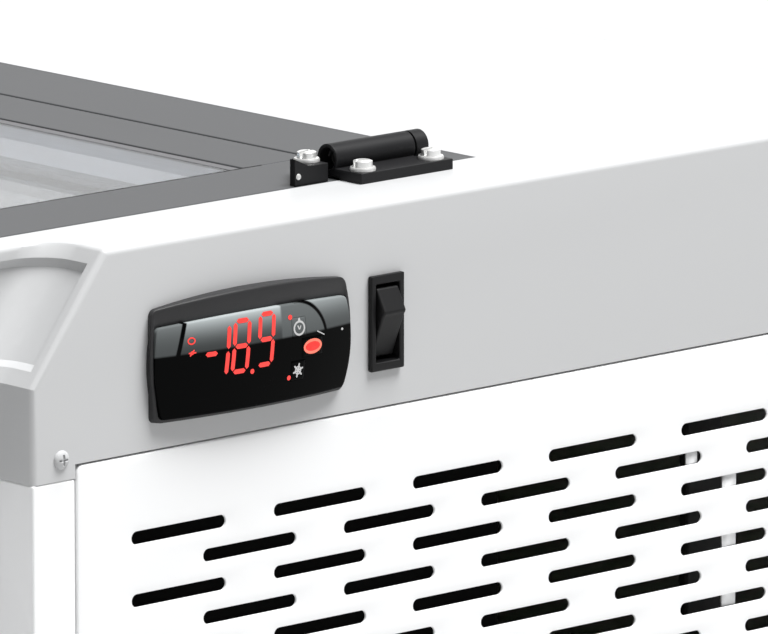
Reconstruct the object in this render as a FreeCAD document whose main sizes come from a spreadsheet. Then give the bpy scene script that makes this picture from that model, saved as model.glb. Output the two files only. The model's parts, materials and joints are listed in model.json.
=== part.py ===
import FreeCAD, Part
import math
import os
from types import SimpleNamespace

import Sketcher

# Compact chest freezer for ice cream. Millimetres, +Z up, origin on the floor under the middle of its box.
# +X runs along the control face, -Y is the service side with the controls, +Y the side it is opened from.
SIZES = {
    "body_length": 780,
    "body_depth": 585,
    "bump_depth": 25,
    "rim_height": 860,
    "body_base": 92,
    "skin": 2,
    "base_lip": 16,
    "bump_offset": 362,
    "tab_width": 18,
    "collar_drop": 70.5,
    "control_drop": 66,
    "deck_ledge": 8,
    "deck_gap": 0.4,
    "slope_drop": 40,
    "slope_run": 30,
    "valley_radius": 13,
    "collar_round": 2.2,
    "near_rim": 11.8,
    "end_rim": 14,
    "recess_depth": 4.5,
    "recess_margin": 4.5,
    "recess_bevel": 3,
    "recess_end": 14,
    "panel_gap": 0.6,
    "panel_corner": 4,
    "panel_flange": 9,
    "slot_length": 39.2,
    "slot_height": 4.2,
    "slot_inset": 42,
    "slot_drop": 27.2,
    "slot_columns": 6,
    "slot_rows": 4,
    "row_pitch": 20.1,
    "lid_width": 489.8,
    "lid_gap": 0.8,
    "seam": 1.2,
    "band_width": 38.4,
    "near_rail": 35.8,
    "end_rail": 28.6,
    "lid_height": 18,
    "pane_sink": 1,
    "pane_thick": 4,
    "lower_pane": 3,
    "pane_hold": 7,
    "spacer_height": 7,
    "gasket_height": 5,
    "gasket_width": 10,
    "ledge_thick": 5,
    "ledge_skirt": 22,
    "tank_near": 68,
    "tank_side": 81,
    "tank_end": 63,
    "tank_far": 45,
    "tank_floor": 192,
    "step_floor": 440,
    "step_length": 175,
    "liner_wall": 1.5,
    "liner_lip": 14,
    "coil_gap": 9,
    "coil_tube": 6,
    "coil_height": 10,
    "coil_loops": 4,
    "coil_pitch": 75,
    "coil_drop": 40,
    "foam_floor": 55,
    "baffle_thick": 1.2,
    "handle_length": 150,
    "handle_height": 30,
    "handle_width": 16,
    "handle_bar": 7,
    "handle_inset": 6,
    "hinge_inset": 20.3,
    "hinge_length": 40,
    "hinge_front": 1.2,
    "hinge_plate": 3.5,
    "barrel_radius": 4.75,
    "barrel_bore": 3.6,
    "barrel_behind": 5.7,
    "barrel_rise": 6.3,
    "knuckle": 5.2,
    "pin_radius": 1.9,
    "pin_play": 0.05,
    "bolt_inset": 5.2,
    "bracket_reach": 17.9,
    "bracket_end": 3.6,
    "bracket_height": 6,
    "bracket_play": 0.4,
    "strap_thick": 2.5,
    "strap_high": 8.8,
    "strap_low": 2.4,
    "rivet_radius": 1,
    "rivet_head": 0.5,
    "web_lift": 0.6,
    "controller_x": 60,
    "controller_width": 81,
    "controller_height": 36,
    "controller_above": 26.5,
    "controller_proud": 8,
    "bezel_thick": 7.2,
    "bezel_end": 3.4,
    "bezel_crown": 2.7,
    "bezel_back": 2,
    "bezel_ledge": 8,
    "case_width": 71,
    "case_height": 29,
    "case_depth": 38,
    "case_play": 0.4,
    "lens_border": 4.2,
    "lens_side": 1,
    "lens_foot": 1.2,
    "lens_end": 4.2,
    "key_travel": 0.8,
    "key_size": 6,
    "key_play": 0.25,
    "key_sunk": 0.15,
    "set_key_x": 22.2,
    "set_key_z": -0.9,
    "down_key_x": 15.5,
    "down_key_z": -7.7,
    "up_key_x": 16.3,
    "up_key_z": 6,
    "switch_x": 119,
    "switch_width": 14.2,
    "switch_height": 31,
    "switch_above": 27.4,
    "switch_proud": 2,
    "rocker_width": 9.4,
    "rocker_height": 24,
    "rocker_play": 0.3,
    "rocker_room": 0.6,
    "switch_wall": 0.9,
    "switch_snap": 1.8,
    "screw_radius": 3,
    "screw_head": 1.7,
    "screw_rise": 2.3,
    "screw_inset": 12,
    "tab_screw": 6.4,
    "bolt_size": 5.4,
    "bolt_behind": 5,
    "arm_thick": 5,
    "arm_lift": 0.6,
    "compressor_gap": 13.5,
    "compressor_y": 135,
    "compressor_radius": 74,
    "compressor_height": 178,
    "shell_crown": 36,
    "crown_radius": 46,
    "foot_reach": 16,
    "foot_plate": 3,
    "grommet_height": 10,
    "grommet_radius": 7,
    "grommet_inset": 10,
    "relay_width": 32,
    "relay_depth": 48,
    "relay_height": 62,
    "condenser_width": 150,
    "condenser_height": 190,
    "condenser_depth": 44,
    "condenser_gap": 38,
    "condenser_inset": 22,
    "fin_pitch": 12.5,
    "fin_thick": 1,
    "core_inset": 3,
    "header_reach": 6,
    "header_radius": 4,
    "shroud_depth": 34,
    "shroud_wall": 2,
    "fan_radius": 62,
    "fan_clearance": 6,
    "spider_arm": 10,
    "motor_radius": 24,
    "motor_length": 42,
    "shaft_radius": 3,
    "shaft_length": 22,
    "hub_radius": 15,
    "hub_length": 16,
    "blade_chord": 42,
    "blade_thick": 1.6,
    "blade_pitch": 28,
    "blade_count": 5,
    "drier_gap": 60,
    "drier_radius": 10,
    "drier_length": 80,
    "drier_height": 60,
    "pipe_radius": 3,
    "upright_behind": 12,
    "upright_inset": 106,
    "upright_width": 15,
    "upright_depth": 18,
    "wheel_radius": 30,
    "wheel_width": 21,
    "castor_inset": 62,
    "castor_trail": 20,
    "castor_plate": 3,
    "castor_side": 56,
    "castor_gap": 0.4,
    "fork_gap": 1.5,
    "fork_leg": 3,
    "fork_crown": 4,
    "fork_eye": 8,
    "fork_heel": 15,
    "fork_toe": 10,
    "king_radius": 5,
    "axle_radius": 4,
    "running_fit": 0.05,
    "running_gap": 0.6,
}

doc = FreeCAD.newDocument("ice_cream_freezer")
sheet = doc.addObject("Spreadsheet::Sheet", "dims")
for row, (alias, number) in enumerate(SIZES.items(), start=1):
    sheet.set(f"A{row}", alias)
    sheet.set(f"B{row}", str(number))
    sheet.setAlias(f"B{row}", alias)
doc.recompute()


class Size(str):
    """A length written as an expression on the sheet, so that sums of sizes stay bound to it."""

    def joined(self, sign, other):
        return Size(f"({self} {sign} {other})")

    def __add__(self, other):
        return self.joined("+", other)

    def __sub__(self, other):
        return self.joined("-", other)

    def __mul__(self, other):
        return self.joined("*", other)

    def __truediv__(self, other):
        return self.joined("/", other)

    def __neg__(self):
        return Size(f"(-1 * {self})")


def number(size):
    return float(sheet.evalExpression(str(size)))


d = SimpleNamespace(**{alias: Size("dims." + alias) for alias in SIZES})
TURN = {
    "X": FreeCAD.Rotation(FreeCAD.Vector(0, 1, 0), 90),
    "Y": FreeCAD.Rotation(FreeCAD.Vector(1, 0, 0), -90),
    "Z": FreeCAD.Rotation(),
}
parts = {}


def part(name, shape):
    """Makes a finished object one of the freezer's pieces."""
    shape.Label = name
    parts[name] = shape
    return shape


def bind(thing, **sizes):
    for prop, size in sizes.items():
        thing.setExpression(prop, str(size))


def place(thing, x, y, z):
    for letter, size in zip("xyz", (x, y, z)):
        thing.setExpression("Placement.Base." + letter, str(size))


def block(name, start, span):
    """A box from its low corner and its three lengths."""
    box = doc.addObject("Part::Box", name)
    bind(box, Length=span[0], Width=span[1], Height=span[2])
    place(box, *start)
    return box


def rod(name, axis, start, radius, length):
    """A round bar that starts at a point and runs along +X, +Y or +Z."""
    bar = doc.addObject("Part::Cylinder", name)
    bar.Placement = FreeCAD.Placement(FreeCAD.Vector(), TURN[axis])
    bind(bar, Radius=radius, Height=length)
    place(bar, *start)
    return bar


def cut(name, base, *tools):
    tool = tools[0] if len(tools) == 1 else join(name + "_tools", *tools)
    result = doc.addObject("Part::Cut", name)
    result.Base = base
    result.Tool = tool
    return result


def join(name, *pieces):
    result = doc.addObject("Part::MultiFuse", name)
    result.Shapes = list(pieces)
    return result


def group(name, *pieces):
    """Like pieces that stay separate solids in one node."""
    result = doc.addObject("Part::Compound", name)
    result.Links = list(pieces)
    return result


def outline(body, role, offset, points, name):
    """A closed sketch of straight sides on an origin plane, every corner bound to the sheet."""
    sketch = body.newObject("Sketcher::SketchObject", name)
    plane = next(item for item in body.Origin.OriginFeatures if item.Role == role)
    sketch.AttachmentSupport = (plane, [""])
    sketch.MapMode = "FlatFace"
    sketch.setExpression("AttachmentOffset.Base.z", str(offset))
    corners = [FreeCAD.Vector(number(a), number(b), 0) for a, b in points]
    count = len(corners)
    for i in range(count):
        sketch.addGeometry(Part.LineSegment(corners[i], corners[(i + 1) % count]), False)
    for i in range(count):
        sketch.addConstraint(Sketcher.Constraint("Coincident", i, 2, (i + 1) % count, 1))
    for i, (a, b) in enumerate(points):
        across = sketch.addConstraint(Sketcher.Constraint("DistanceX", -1, 1, i, 1, corners[i].x))
        sketch.setExpression(f"Constraints[{across}]", str(a))
        up = sketch.addConstraint(Sketcher.Constraint("DistanceY", -1, 1, i, 1, corners[i].y))
        sketch.setExpression(f"Constraints[{up}]", str(b))
    return sketch


def pad(body, sketch, length, name):
    result = body.newObject("PartDesign::Pad", name)
    result.Profile = sketch
    result.setExpression("Length", str(length))
    doc.recompute()
    return result


def edges_along(shape, axis, keep):
    """Names of the straight edges that run along an axis and whose middle passes the test."""
    names = []
    for i, edge in enumerate(shape.Edges, start=1):
        way = edge.tangentAt(edge.FirstParameter)
        if abs(abs(way.dot(axis)) - 1) < 1e-6 and keep(edge.CenterOfMass):
            names.append(f"Edge{i}")
    return names


AXIS_X = FreeCAD.Vector(1, 0, 0)
AXIS_Y = FreeCAD.Vector(0, 1, 0)
AXIS_Z = FreeCAD.Vector(0, 0, 1)

# Planes that the whole cabinet shares.
left = -(d.body_length / 2)
right = d.body_length / 2
face = (d.controller_proud - d.bump_depth - d.body_depth) / 2
main = face + d.bump_depth
rear = main + d.body_depth
rim = d.rim_height
collar_base = rim - d.collar_drop
face_base = rim - d.control_drop
bump_left = left + d.bump_offset
panel_left = bump_left + d.tab_width
panel_right = right - d.tab_width
well_left = left + d.end_rim
well_near = main + d.near_rim
well_far = rear - d.end_rim
tank_x0 = left + d.tank_side
tank_y0 = face + d.tank_near
tank_y1 = rear - d.tank_far
lid_left = well_left + d.band_width + d.seam
lid_near = well_near + d.lid_gap
lid_far = well_far - d.lid_gap
lid_right = lid_left + d.lid_width
well_right = lid_right + d.seam + d.band_width
tank_x1 = well_right - d.tank_end
lid_base = rim - d.lid_height
ledge_top = lid_base - d.gasket_height
ledge_base = ledge_top - d.ledge_thick
flange_base = ledge_base - d.liner_wall

# Cabinet: painted sheet steel round a base pan with upturned lips.
pan_outer = block("pan_outer", (left + d.skin, main + d.skin, d.body_base),
                  (d.body_length - d.skin * 2, d.body_depth - d.skin * 2, d.base_lip))
pan_bump = block("pan_bump", (bump_left + d.skin, face + d.skin, d.body_base),
                 (right - bump_left - d.skin * 2, d.bump_depth + d.base_lip, d.base_lip))
pan_hollow = block("pan_hollow", (left + d.skin * 2, main + d.skin * 2, d.body_base + d.skin),
                   (d.body_length - d.skin * 4, d.body_depth - d.skin * 4, d.base_lip))
pan_bump_hollow = block("pan_bump_hollow", (bump_left + d.skin * 2, face + d.skin * 2, d.body_base + d.skin),
                        (right - bump_left - d.skin * 4, d.bump_depth + d.base_lip, d.base_lip))
part("base_pan", cut("base_pan", join("pan_solid", pan_outer, pan_bump), pan_hollow, pan_bump_hollow))

wall_height = collar_base - d.body_base
part("left_panel", block("left_panel", (left, main, d.body_base), (d.skin, d.body_depth, wall_height)))
part("rear_panel", block("rear_panel", (left + d.skin, rear - d.skin, d.body_base),
                         (d.body_length - d.skin * 2, d.skin, wall_height)))
part("right_panel", block("right_panel", (right - d.skin, face, d.body_base),
                          (d.skin, d.body_depth + d.bump_depth, wall_height)))
part("front_panel", block("front_panel", (left + d.skin, main, d.body_base),
                          (bump_left - left - d.skin, d.skin, wall_height)))
post_front = block("post_front", (bump_left, face, d.body_base),
                   (d.tab_width - d.panel_gap, d.skin, wall_height))
post_side = block("post_side", (bump_left, face, d.body_base),
                  (d.skin, d.bump_depth + d.skin, wall_height))
post_end = block("post_end", (panel_right + d.panel_gap, face, d.body_base),
                 (d.tab_width - d.skin - d.panel_gap, d.skin, wall_height))
post_return = block("post_return", (panel_right + d.panel_gap, face + d.skin, d.body_base + d.base_lip),
                    (d.skin, d.bump_depth, wall_height - d.base_lip))
part("corner_posts", group("corner_posts", join("left_post", post_front, post_side),
                           join("right_post", post_end, post_return)))

panel_base = d.body_base + d.base_lip
panel_top = face_base - d.panel_gap

# Slotted service panel: one sheet with folded edges, its slots staggered row by row.
tray = doc.addObject("PartDesign::Body", "vent_tray")
panel_outline = outline(tray, "XZ_Plane", -(face + d.panel_flange), [
    (panel_left, panel_base), (panel_right, panel_base),
    (panel_right, panel_top), (panel_left, panel_top)], "panel_outline")
pad(tray, panel_outline, d.panel_flange, "panel_sheet")
tray_outline = outline(tray, "XZ_Plane", -(face + d.panel_flange), [
    (panel_left + d.skin, panel_base + d.skin), (panel_right - d.skin, panel_base + d.skin),
    (panel_right - d.skin, panel_top - d.skin), (panel_left + d.skin, panel_top - d.skin)], "tray_outline")
tray_pocket = tray.newObject("PartDesign::Pocket", "panel_hollow")
tray_pocket.Profile = tray_outline
tray_pocket.Reversed = True
tray_pocket.setExpression("Length", str(d.panel_flange - d.skin))
doc.recompute()
rounding = tray.newObject("PartDesign::Fillet", "panel_corners")
high = number(panel_top) - 1
rounding.Base = (tray_pocket, edges_along(tray_pocket.Shape, AXIS_Y,
                                          lambda middle: middle.z > high and middle.y > number(face) + 1))
rounding.setExpression("Radius", str(d.panel_corner))


def slot(x, z):
    """A slot with bevelled ends that runs through the sheet at one place."""
    half_height = number(d.slot_height) / 2
    reach = number(d.slot_length) / 2
    shoulder = reach - half_height * 0.7
    nose = half_height * 0.3
    front = number(face) - 1
    corners = [FreeCAD.Vector(x + side * across, front, z + up) for side, across, up in (
        (-1, shoulder, -half_height), (1, shoulder, -half_height), (1, reach, -nose), (1, reach, nose),
        (1, shoulder, half_height), (-1, shoulder, half_height), (-1, reach, nose), (-1, reach, -nose))]
    return Part.Face(Part.makePolygon(corners + corners[:1])).extrude(FreeCAD.Vector(0, number(d.skin) + 2,
                                                                                     0))


slot_pitch = (number(panel_right - panel_left) - number(d.slot_inset) * 2) / (number(d.slot_columns) - 1)
slots = []
for row in range(int(number(d.slot_rows)) * 2):
    between = row % 2
    z = number(face_base - d.slot_drop) - row * number(d.row_pitch) / 2
    for column in range(int(number(d.slot_columns)) - between):
        slots.append(slot(number(panel_left + d.slot_inset) + (column + between / 2) * slot_pitch, z))
slot_tools = doc.addObject("Part::Feature", "slot_tools")
slot_tools.Shape = Part.makeCompound(slots)
part("vent_panel", cut("vent_panel", tray, slot_tools))

# Top collar: a moulded ring whose end leans out beside the controls and runs on along the main front.
slope_base = number(rim - d.slope_drop)
lean = FreeCAD.Vector(number(d.slope_run), 0, number(d.slope_drop))
far = number(right) + number(d.slope_run) * 2


def bump_outline(z, inset=0.0):
    """The bump's plan with its rounded valley, as it lies at one height of the leaning end."""
    shift = number(d.slope_run) * max(z - slope_base, 0) / number(d.slope_drop)
    step = number(bump_left) + shift + inset
    valley = number(main) + inset
    radius = number(d.valley_radius) + inset
    swing = radius * (1 - math.sqrt(0.5))
    start = FreeCAD.Vector(step - radius, valley, z)
    end = FreeCAD.Vector(step, valley - radius, z)
    middle = FreeCAD.Vector(step - swing, valley - swing, z)
    corners = [end] + [FreeCAD.Vector(x, y, z) for x, y in (
        (step, number(face)), (far, number(face)), (far, number(rear) / 2),
                                                            (step - radius, number(rear) / 2))]
    edges = [Part.Arc(start, middle, end).toShape()]
    for first, second in zip(corners, corners[1:] + [start]):
        edges.append(Part.LineSegment(first, second).toShape())
    return Part.Wire(edges)


def main_box(z_low, z_high, inset=0.0):
    corner = FreeCAD.Vector(number(left) + inset, number(main) + inset, z_low)
    return Part.makeBox(number(d.body_length) - inset, number(d.body_depth) - inset * 2, z_high - z_low,
                        corner)


def leaning_bump(z_low, z_high, inset=0.0):
    way = lean * ((z_high - z_low) / number(d.slope_drop))
    return Part.Face(bump_outline(z_low, inset)).extrude(way)


rim_z, collar_z = number(rim), number(collar_base)
straight = Part.Face(bump_outline(slope_base)).extrude(FreeCAD.Vector(0, 0, collar_z - slope_base))
clip = Part.makeBox(number(d.body_length), number(d.body_depth + d.bump_depth), rim_z - collar_z,
                    FreeCAD.Vector(number(left), number(face), collar_z))
bump_solid = leaning_bump(slope_base, rim_z).fuse(straight).common(clip)
collar_solid = main_box(collar_z, rim_z).fuse(bump_solid).removeSplitter()


def soft_edge(edge):
    """True on the control face's top and sloping edges and on the rim's outer edge beside them."""
    if len(edge.Vertexes) < 2:
        return False
    ends = [vertex.Point for vertex in edge.Vertexes]
    at_front = all(abs(point.y - number(face)) < 1e-6 for point in ends)
    at_rim = all(abs(point.z - rim_z) < 1e-6 for point in ends)
    on_side = all(point.y < number(main) + 1e-6 for point in ends)
    upright = all(abs(point.x - number(bump_left)) < 1e-6 for point in ends)
    sloping = at_front and abs(ends[0].z - ends[1].z) > 1 and abs(ends[0].x - ends[1].x) > 1
    return (at_rim and on_side) or sloping or (at_front and upright and abs(ends[0].z - ends[1].z) > 1)


collar_soft = collar_solid.makeFillet(number(d.collar_round),
                                      [edge for edge in collar_solid.Edges if soft_edge(edge)])

# The recess follows the same outline one depth further in, with a bevelled head and foot.
recess_head = number(rim - d.recess_margin)
recess_foot = slope_base + number(d.recess_margin)
bevel = number(d.recess_bevel)
depth = number(d.recess_depth)
margin = number(d.recess_end)


def bevelled(z_low, inset_low, z_high, inset_high):
    """A layer between two heights whose walls lean from one inset to the other."""
    plans = []
    for z, inset in ((z_low, inset_low), (z_high, inset_high)):
        corner = FreeCAD.Vector(number(left) + inset, number(main) + inset, z)
        plans.append(Part.Wire(Part.makePolygon([
            corner, corner + FreeCAD.Vector(number(d.body_length) - inset, 0, 0),
            corner + FreeCAD.Vector(number(d.body_length) - inset, number(d.body_depth) - inset * 2, 0),
            corner + FreeCAD.Vector(0, number(d.body_depth) - inset * 2, 0), corner]).Edges))
    bump = Part.makeLoft([bump_outline(z_low, inset_low), bump_outline(z_high, inset_high)], True, True)
    return Part.makeLoft(plans, True, True).fuse(bump)


core = bevelled(recess_head - bevel, depth, recess_head, 0)
core = core.fuse([main_box(recess_foot + bevel / 2, recess_head - bevel, depth),
                  leaning_bump(recess_foot + bevel / 2, recess_head - bevel, depth),
                  bevelled(recess_foot, 0, recess_foot + bevel / 2, depth)])
window = Part.makeBox(number(bump_left - left) + number(d.slope_run), number(d.bump_depth) * 2,
                      recess_head - recess_foot,
                      FreeCAD.Vector(number(left) + margin, number(face + d.recess_margin), recess_foot))
end_window = Part.makeBox(number(d.bump_depth), number(d.body_depth) - margin * 2, recess_head - recess_foot,
                          FreeCAD.Vector(number(left) - 1, number(main) + margin, recess_foot))
rounded = collar_soft.cut(window.cut(core)).cut(end_window.cut(core))
collar_shell = doc.addObject("Part::Feature", "collar_shell")
collar_shell.Shape = rounded
well = block("well", (well_left, well_near, collar_base - 1),
             (well_right - well_left, well_far - well_near, d.collar_drop + 2))
under_main = block("under_main", (left + d.skin, main + d.skin, collar_base - 1),
                   (d.body_length - d.skin * 2, d.body_depth - d.skin * 2, flange_base - collar_base + 1))
under_bump = block("under_bump", (bump_left + d.slope_run + d.skin, face + d.skin, collar_base - 1),
                   (right - bump_left - d.slope_run - d.skin * 2, d.bump_depth + d.skin,
                    d.collar_drop + 1 - d.skin * 2))
under_deck = block("under_deck", (well_right + d.end_rim, face + d.skin, collar_base - 1),
                   (right - well_right - d.end_rim - d.skin, d.body_depth + d.bump_depth - d.skin * 2,
                    d.collar_drop + 1 - d.skin * 3))
deck_open = block("deck_open", (well_right + d.end_rim, well_near, rim - d.skin * 2),
                  (right - well_right - d.end_rim * 2, well_far - well_near, d.skin * 4))
deck_mouth = block("deck_mouth", (well_right + d.end_rim + d.deck_ledge, well_near + d.deck_ledge,
                                  rim - d.skin * 4),
                   (right - well_right - (d.end_rim + d.deck_ledge) * 2,
                    well_far - well_near - d.deck_ledge * 2,
                    d.skin * 4))
panel_notch = block("panel_notch", (panel_left - d.panel_gap, face - 1, collar_base - 1),
                    (panel_right - panel_left + d.panel_gap * 2, d.bump_depth,
                     d.collar_drop - d.control_drop + 1))
controller_z = face_base + d.controller_above
switch_z = face_base + d.switch_above
controller_hole = block("controller_hole", (d.controller_x - d.case_width / 2, face - 1,
                                            controller_z - d.case_height / 2),
                        (d.case_width, d.case_depth, d.case_height))
snap_room = d.rocker_play * 5
switch_hole = block("switch_hole", (d.switch_x - d.rocker_width / 2 - snap_room, face - 1,
                                    switch_z - d.switch_height / 2 + snap_room),
                    (d.rocker_width + snap_room * 2, d.bump_depth, d.switch_height - snap_room * 2))
part("top_collar", cut("top_collar", collar_shell, well, under_main, under_bump, under_deck, deck_open,
                       deck_mouth, panel_notch, controller_hole, switch_hole))
part("service_deck", block("service_deck", (well_right + d.end_rim + d.deck_gap, well_near + d.deck_gap,
                                            rim - d.skin * 2),
                           (right - well_right - (d.end_rim + d.deck_gap) * 2,
                            well_far - well_near - d.deck_gap * 2, d.skin * 2)))

# Inner frame round the tank mouth: the ledge that the lid's gasket closes on, with a skirt inside the liner.
ring_plate = block("ring_plate", (well_left, well_near, ledge_base),
                   (well_right - well_left, well_far - well_near, d.ledge_thick))
ring_skirt = block("ring_skirt", (tank_x0, tank_y0, ledge_top - d.ledge_skirt),
                   (tank_x1 - tank_x0, tank_y1 - tank_y0, d.ledge_skirt))
ring_mouth = block("ring_mouth", (tank_x0 + d.liner_wall, tank_y0 + d.liner_wall,
                                  ledge_top - d.ledge_skirt - 1),
                   (tank_x1 - tank_x0 - d.liner_wall * 2, tank_y1 - tank_y0 - d.liner_wall * 2,
                    d.ledge_skirt + 2))
part("breaker_ring", cut("breaker_ring", join("ring_solid", ring_plate, ring_skirt), ring_mouth))

# Flush bands that fill the well at both ends of the lid, each standing on the ledge.
bands = [block(name, (x, well_near, ledge_top), (d.band_width, well_far - well_near, rim - ledge_top))
         for name, x in (("left_band", well_left), ("right_band", lid_right + d.seam))]
part("end_bands", group("end_bands", *bands))

# Lid: four rails grooved for two panes, the near and far rails running the full width.
lid_width = lid_right - lid_left
lid_depth = lid_far - lid_near
glass_x0 = lid_left + d.end_rail
glass_x1 = lid_right - d.end_rail
glass_y0 = lid_near + d.near_rail
glass_y1 = lid_far - d.near_rail
upper_z = rim - d.pane_sink - d.pane_thick
lower_z = upper_z - d.spacer_height - d.lower_pane


def glass_sheet(name, z, thick, hold=0):
    return block(name, (glass_x0 - hold, glass_y0 - hold, z),
                 (glass_x1 - glass_x0 + hold * 2, glass_y1 - glass_y0 + hold * 2, thick))


part("lid_pane_upper", glass_sheet("lid_pane_upper", upper_z, d.pane_thick, d.pane_hold))
part("lid_pane_lower", glass_sheet("lid_pane_lower", lower_z, d.lower_pane, d.pane_hold))
spacer_outer = glass_sheet("spacer_outer", lower_z + d.lower_pane, d.spacer_height)
spacer_inner = glass_sheet("spacer_inner", lower_z, d.lid_height, -2)
part("lid_spacer", cut("lid_spacer", spacer_outer, spacer_inner))
rails = {
    "near": ((lid_left, lid_near), (lid_width, d.near_rail)),
    "far": ((lid_left, glass_y1), (lid_width, d.near_rail)),
    "left": ((lid_left, glass_y0), (d.end_rail, glass_y1 - glass_y0)),
    "right": ((glass_x1, glass_y0), (d.end_rail, glass_y1 - glass_y0)),
}
for side, ((x, y), (length, width)) in rails.items():
    bar = block(side + "_bar", (x, y, lid_base), (length, width, d.lid_height))
    grooves = [glass_sheet(side + "_groove_upper", upper_z, d.pane_thick, d.pane_hold),
               glass_sheet(side + "_groove_lower", lower_z, d.lower_pane, d.pane_hold)]
    part("lid_rail_" + side, cut("lid_rail_" + side, bar, *grooves))

gasket_inset = d.near_rail / 4
gasket_outer = block("gasket_outer", (lid_left + gasket_inset, lid_near + gasket_inset, ledge_top),
                     (lid_width - gasket_inset * 2, lid_depth - gasket_inset * 2, d.gasket_height))
gasket_inner = block("gasket_inner", (lid_left + gasket_inset + d.gasket_width,
                                      lid_near + gasket_inset + d.gasket_width,
                                      ledge_top - 1),
                     (lid_width - (gasket_inset + d.gasket_width) * 2,
                      lid_depth - (gasket_inset + d.gasket_width) * 2,
                      d.gasket_height + 2))
part("lid_gasket", cut("lid_gasket", gasket_outer, gasket_inner))

# Handle: a bridge with leaning feet on the far rail.
lid_middle = (lid_left + lid_right) / 2
handle = doc.addObject("PartDesign::Body", "lid_handle")
handle_far = lid_far - d.handle_inset
bar_low = rim + d.handle_height - d.handle_bar
foot = d.handle_height * 0.75
half = d.handle_length / 2
bridge = outline(handle, "XZ_Plane", -handle_far, [
    (lid_middle - half, rim), (lid_middle - half + foot, rim),
    (lid_middle - half + foot + d.handle_bar, bar_low), (lid_middle + half - foot - d.handle_bar, bar_low),
    (lid_middle + half - foot, rim), (lid_middle + half, rim),
    (lid_middle + half - foot / 2, rim + d.handle_height),
                                                   (lid_middle - half + foot / 2, rim + d.handle_height)],
    "handle_outline")
bridge_pad = pad(handle, bridge, d.handle_width, "handle_bridge")
softened = handle.newObject("PartDesign::Fillet", "handle_round")
grip = number(rim + d.handle_height) - 1
softened.Base = (bridge_pad, edges_along(bridge_pad.Shape, AXIS_Y, lambda middle: middle.z > grip))
softened.setExpression("Radius", str(d.handle_bar * 0.8))
doc.recompute()
part("lid_handle", handle)

# Hinges: a plate with a barrel on the rim, a pin, a closing spring and a bracket on the lid.
axis_y = lid_near - d.lid_gap + d.barrel_behind
axis_z = rim + d.barrel_rise
barrel_length = d.hinge_length - d.knuckle - d.running_gap
hinge_x = lid_right - d.hinge_inset


def hinge_solids(name):
    """The right-hand hinge, worked out in the cabinet's own place."""
    front = main + d.hinge_front
    plate = block(name + "_plate", (hinge_x, front, rim), (d.hinge_length, well_near - front, d.hinge_plate))
    web = block(name + "_web", (hinge_x, well_near - 1, rim + d.web_lift),
                (barrel_length, axis_y - well_near + 1, d.hinge_plate - d.web_lift))
    barrel = rod(name + "_barrel", "X", (hinge_x, axis_y, axis_z), d.barrel_radius, barrel_length)
    hollow = rod(name + "_hollow", "X", (hinge_x - 1, axis_y, axis_z), d.barrel_bore,
                 barrel_length * 0.75 + 1)
    bush = rod(name + "_bush", "X", (hinge_x, axis_y, axis_z), d.pin_radius + d.pin_play, barrel_length + 1)
    return cut(name + "_casting", join(name + "_solid", plate, web, barrel), hollow, bush)


bracket_x = hinge_x - d.bracket_reach
bracket_right = hinge_x - d.bracket_end
bracket_near = lid_near + d.bracket_play


def bracket_solids(name):
    """The lid's half: a wedge-ended foot, a sloping strap, an arm behind the barrel and a knuckle."""
    behind = axis_y + d.barrel_radius + d.running_gap
    arm_z = rim + d.arm_lift
    back = behind + d.arm_thick
    foot = doc.addObject("PartDesign::Body", name + "_foot")
    plan = outline(foot, "XY_Plane", rim, [
        (bracket_x, bracket_near), (bracket_right, bracket_near), (bracket_right, back),
        (bracket_right - 1, back)], name + "_plan")
    pad(foot, plan, d.bracket_height, name + "_foot_pad")
    strap = doc.addObject("PartDesign::Body", name + "_strap")
    slope = outline(strap, "XZ_Plane", -bracket_near - d.strap_thick, [
        (bracket_x, rim), (bracket_right, rim), (bracket_right, rim + d.strap_low),
        (bracket_x, rim + d.strap_high)], name + "_slope")
    pad(strap, slope, d.strap_thick, name + "_strap_pad")
    arm_x = bracket_right - d.arm_thick / 2
    arm = block(name + "_arm", (arm_x, behind, arm_z),
                (hinge_x + d.hinge_length - arm_x, d.arm_thick, d.arm_thick))
    knuckle_x = hinge_x + barrel_length + d.running_gap
    ring = rod(name + "_ring", "X", (knuckle_x, axis_y, axis_z), d.barrel_radius, d.knuckle)
    cheek = block(name + "_cheek", (knuckle_x, axis_y, arm_z), (d.knuckle, back - axis_y, d.arm_thick))
    bore = rod(name + "_bore", "X", (knuckle_x - 1, axis_y, axis_z), d.pin_radius, d.knuckle + 2)
    return cut(name + "_forging", join(name + "_whole", foot, strap, arm, ring, cheek), bore)


def mirrored(name, source):
    """The same piece at the lid's other end."""
    result = doc.addObject("Part::Mirroring", name)
    result.Source = source
    result.Normal = AXIS_X
    result.setExpression("Base.x", str(lid_middle))
    return result


casting = hinge_solids("hinge_base")
part("hinge_bases", group("hinge_bases", casting, mirrored("left_casting", casting)))
forging = bracket_solids("hinge_bracket")
part("hinge_brackets", group("hinge_brackets", forging, mirrored("left_forging", forging)))
pin = rod("right_pin", "X", (hinge_x + 4, axis_y, axis_z), d.pin_radius, d.hinge_length - 4)
part("hinge_pins", group("hinge_pins", pin, mirrored("left_pin", pin)))
spring = cut("spring_coil", rod("spring_outside", "X", (hinge_x + 3, axis_y, axis_z), d.barrel_bore - 0.3,
                                barrel_length * 0.6),
             rod("spring_inside", "X", (hinge_x, axis_y, axis_z), d.pin_radius + 0.3, d.hinge_length))
part("hinge_springs", group("hinge_springs", spring, mirrored("left_spring", spring)))


def bolt_head(name, x, y, z):
    """A hexagon head that stands on its seat."""
    prism = doc.addObject("Part::Prism", name)
    prism.Polygon = 6
    bind(prism, Circumradius=d.bolt_size / math.sqrt(3), Height=d.bolt_size * 0.5)
    place(prism, x, y, z)
    return prism


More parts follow.
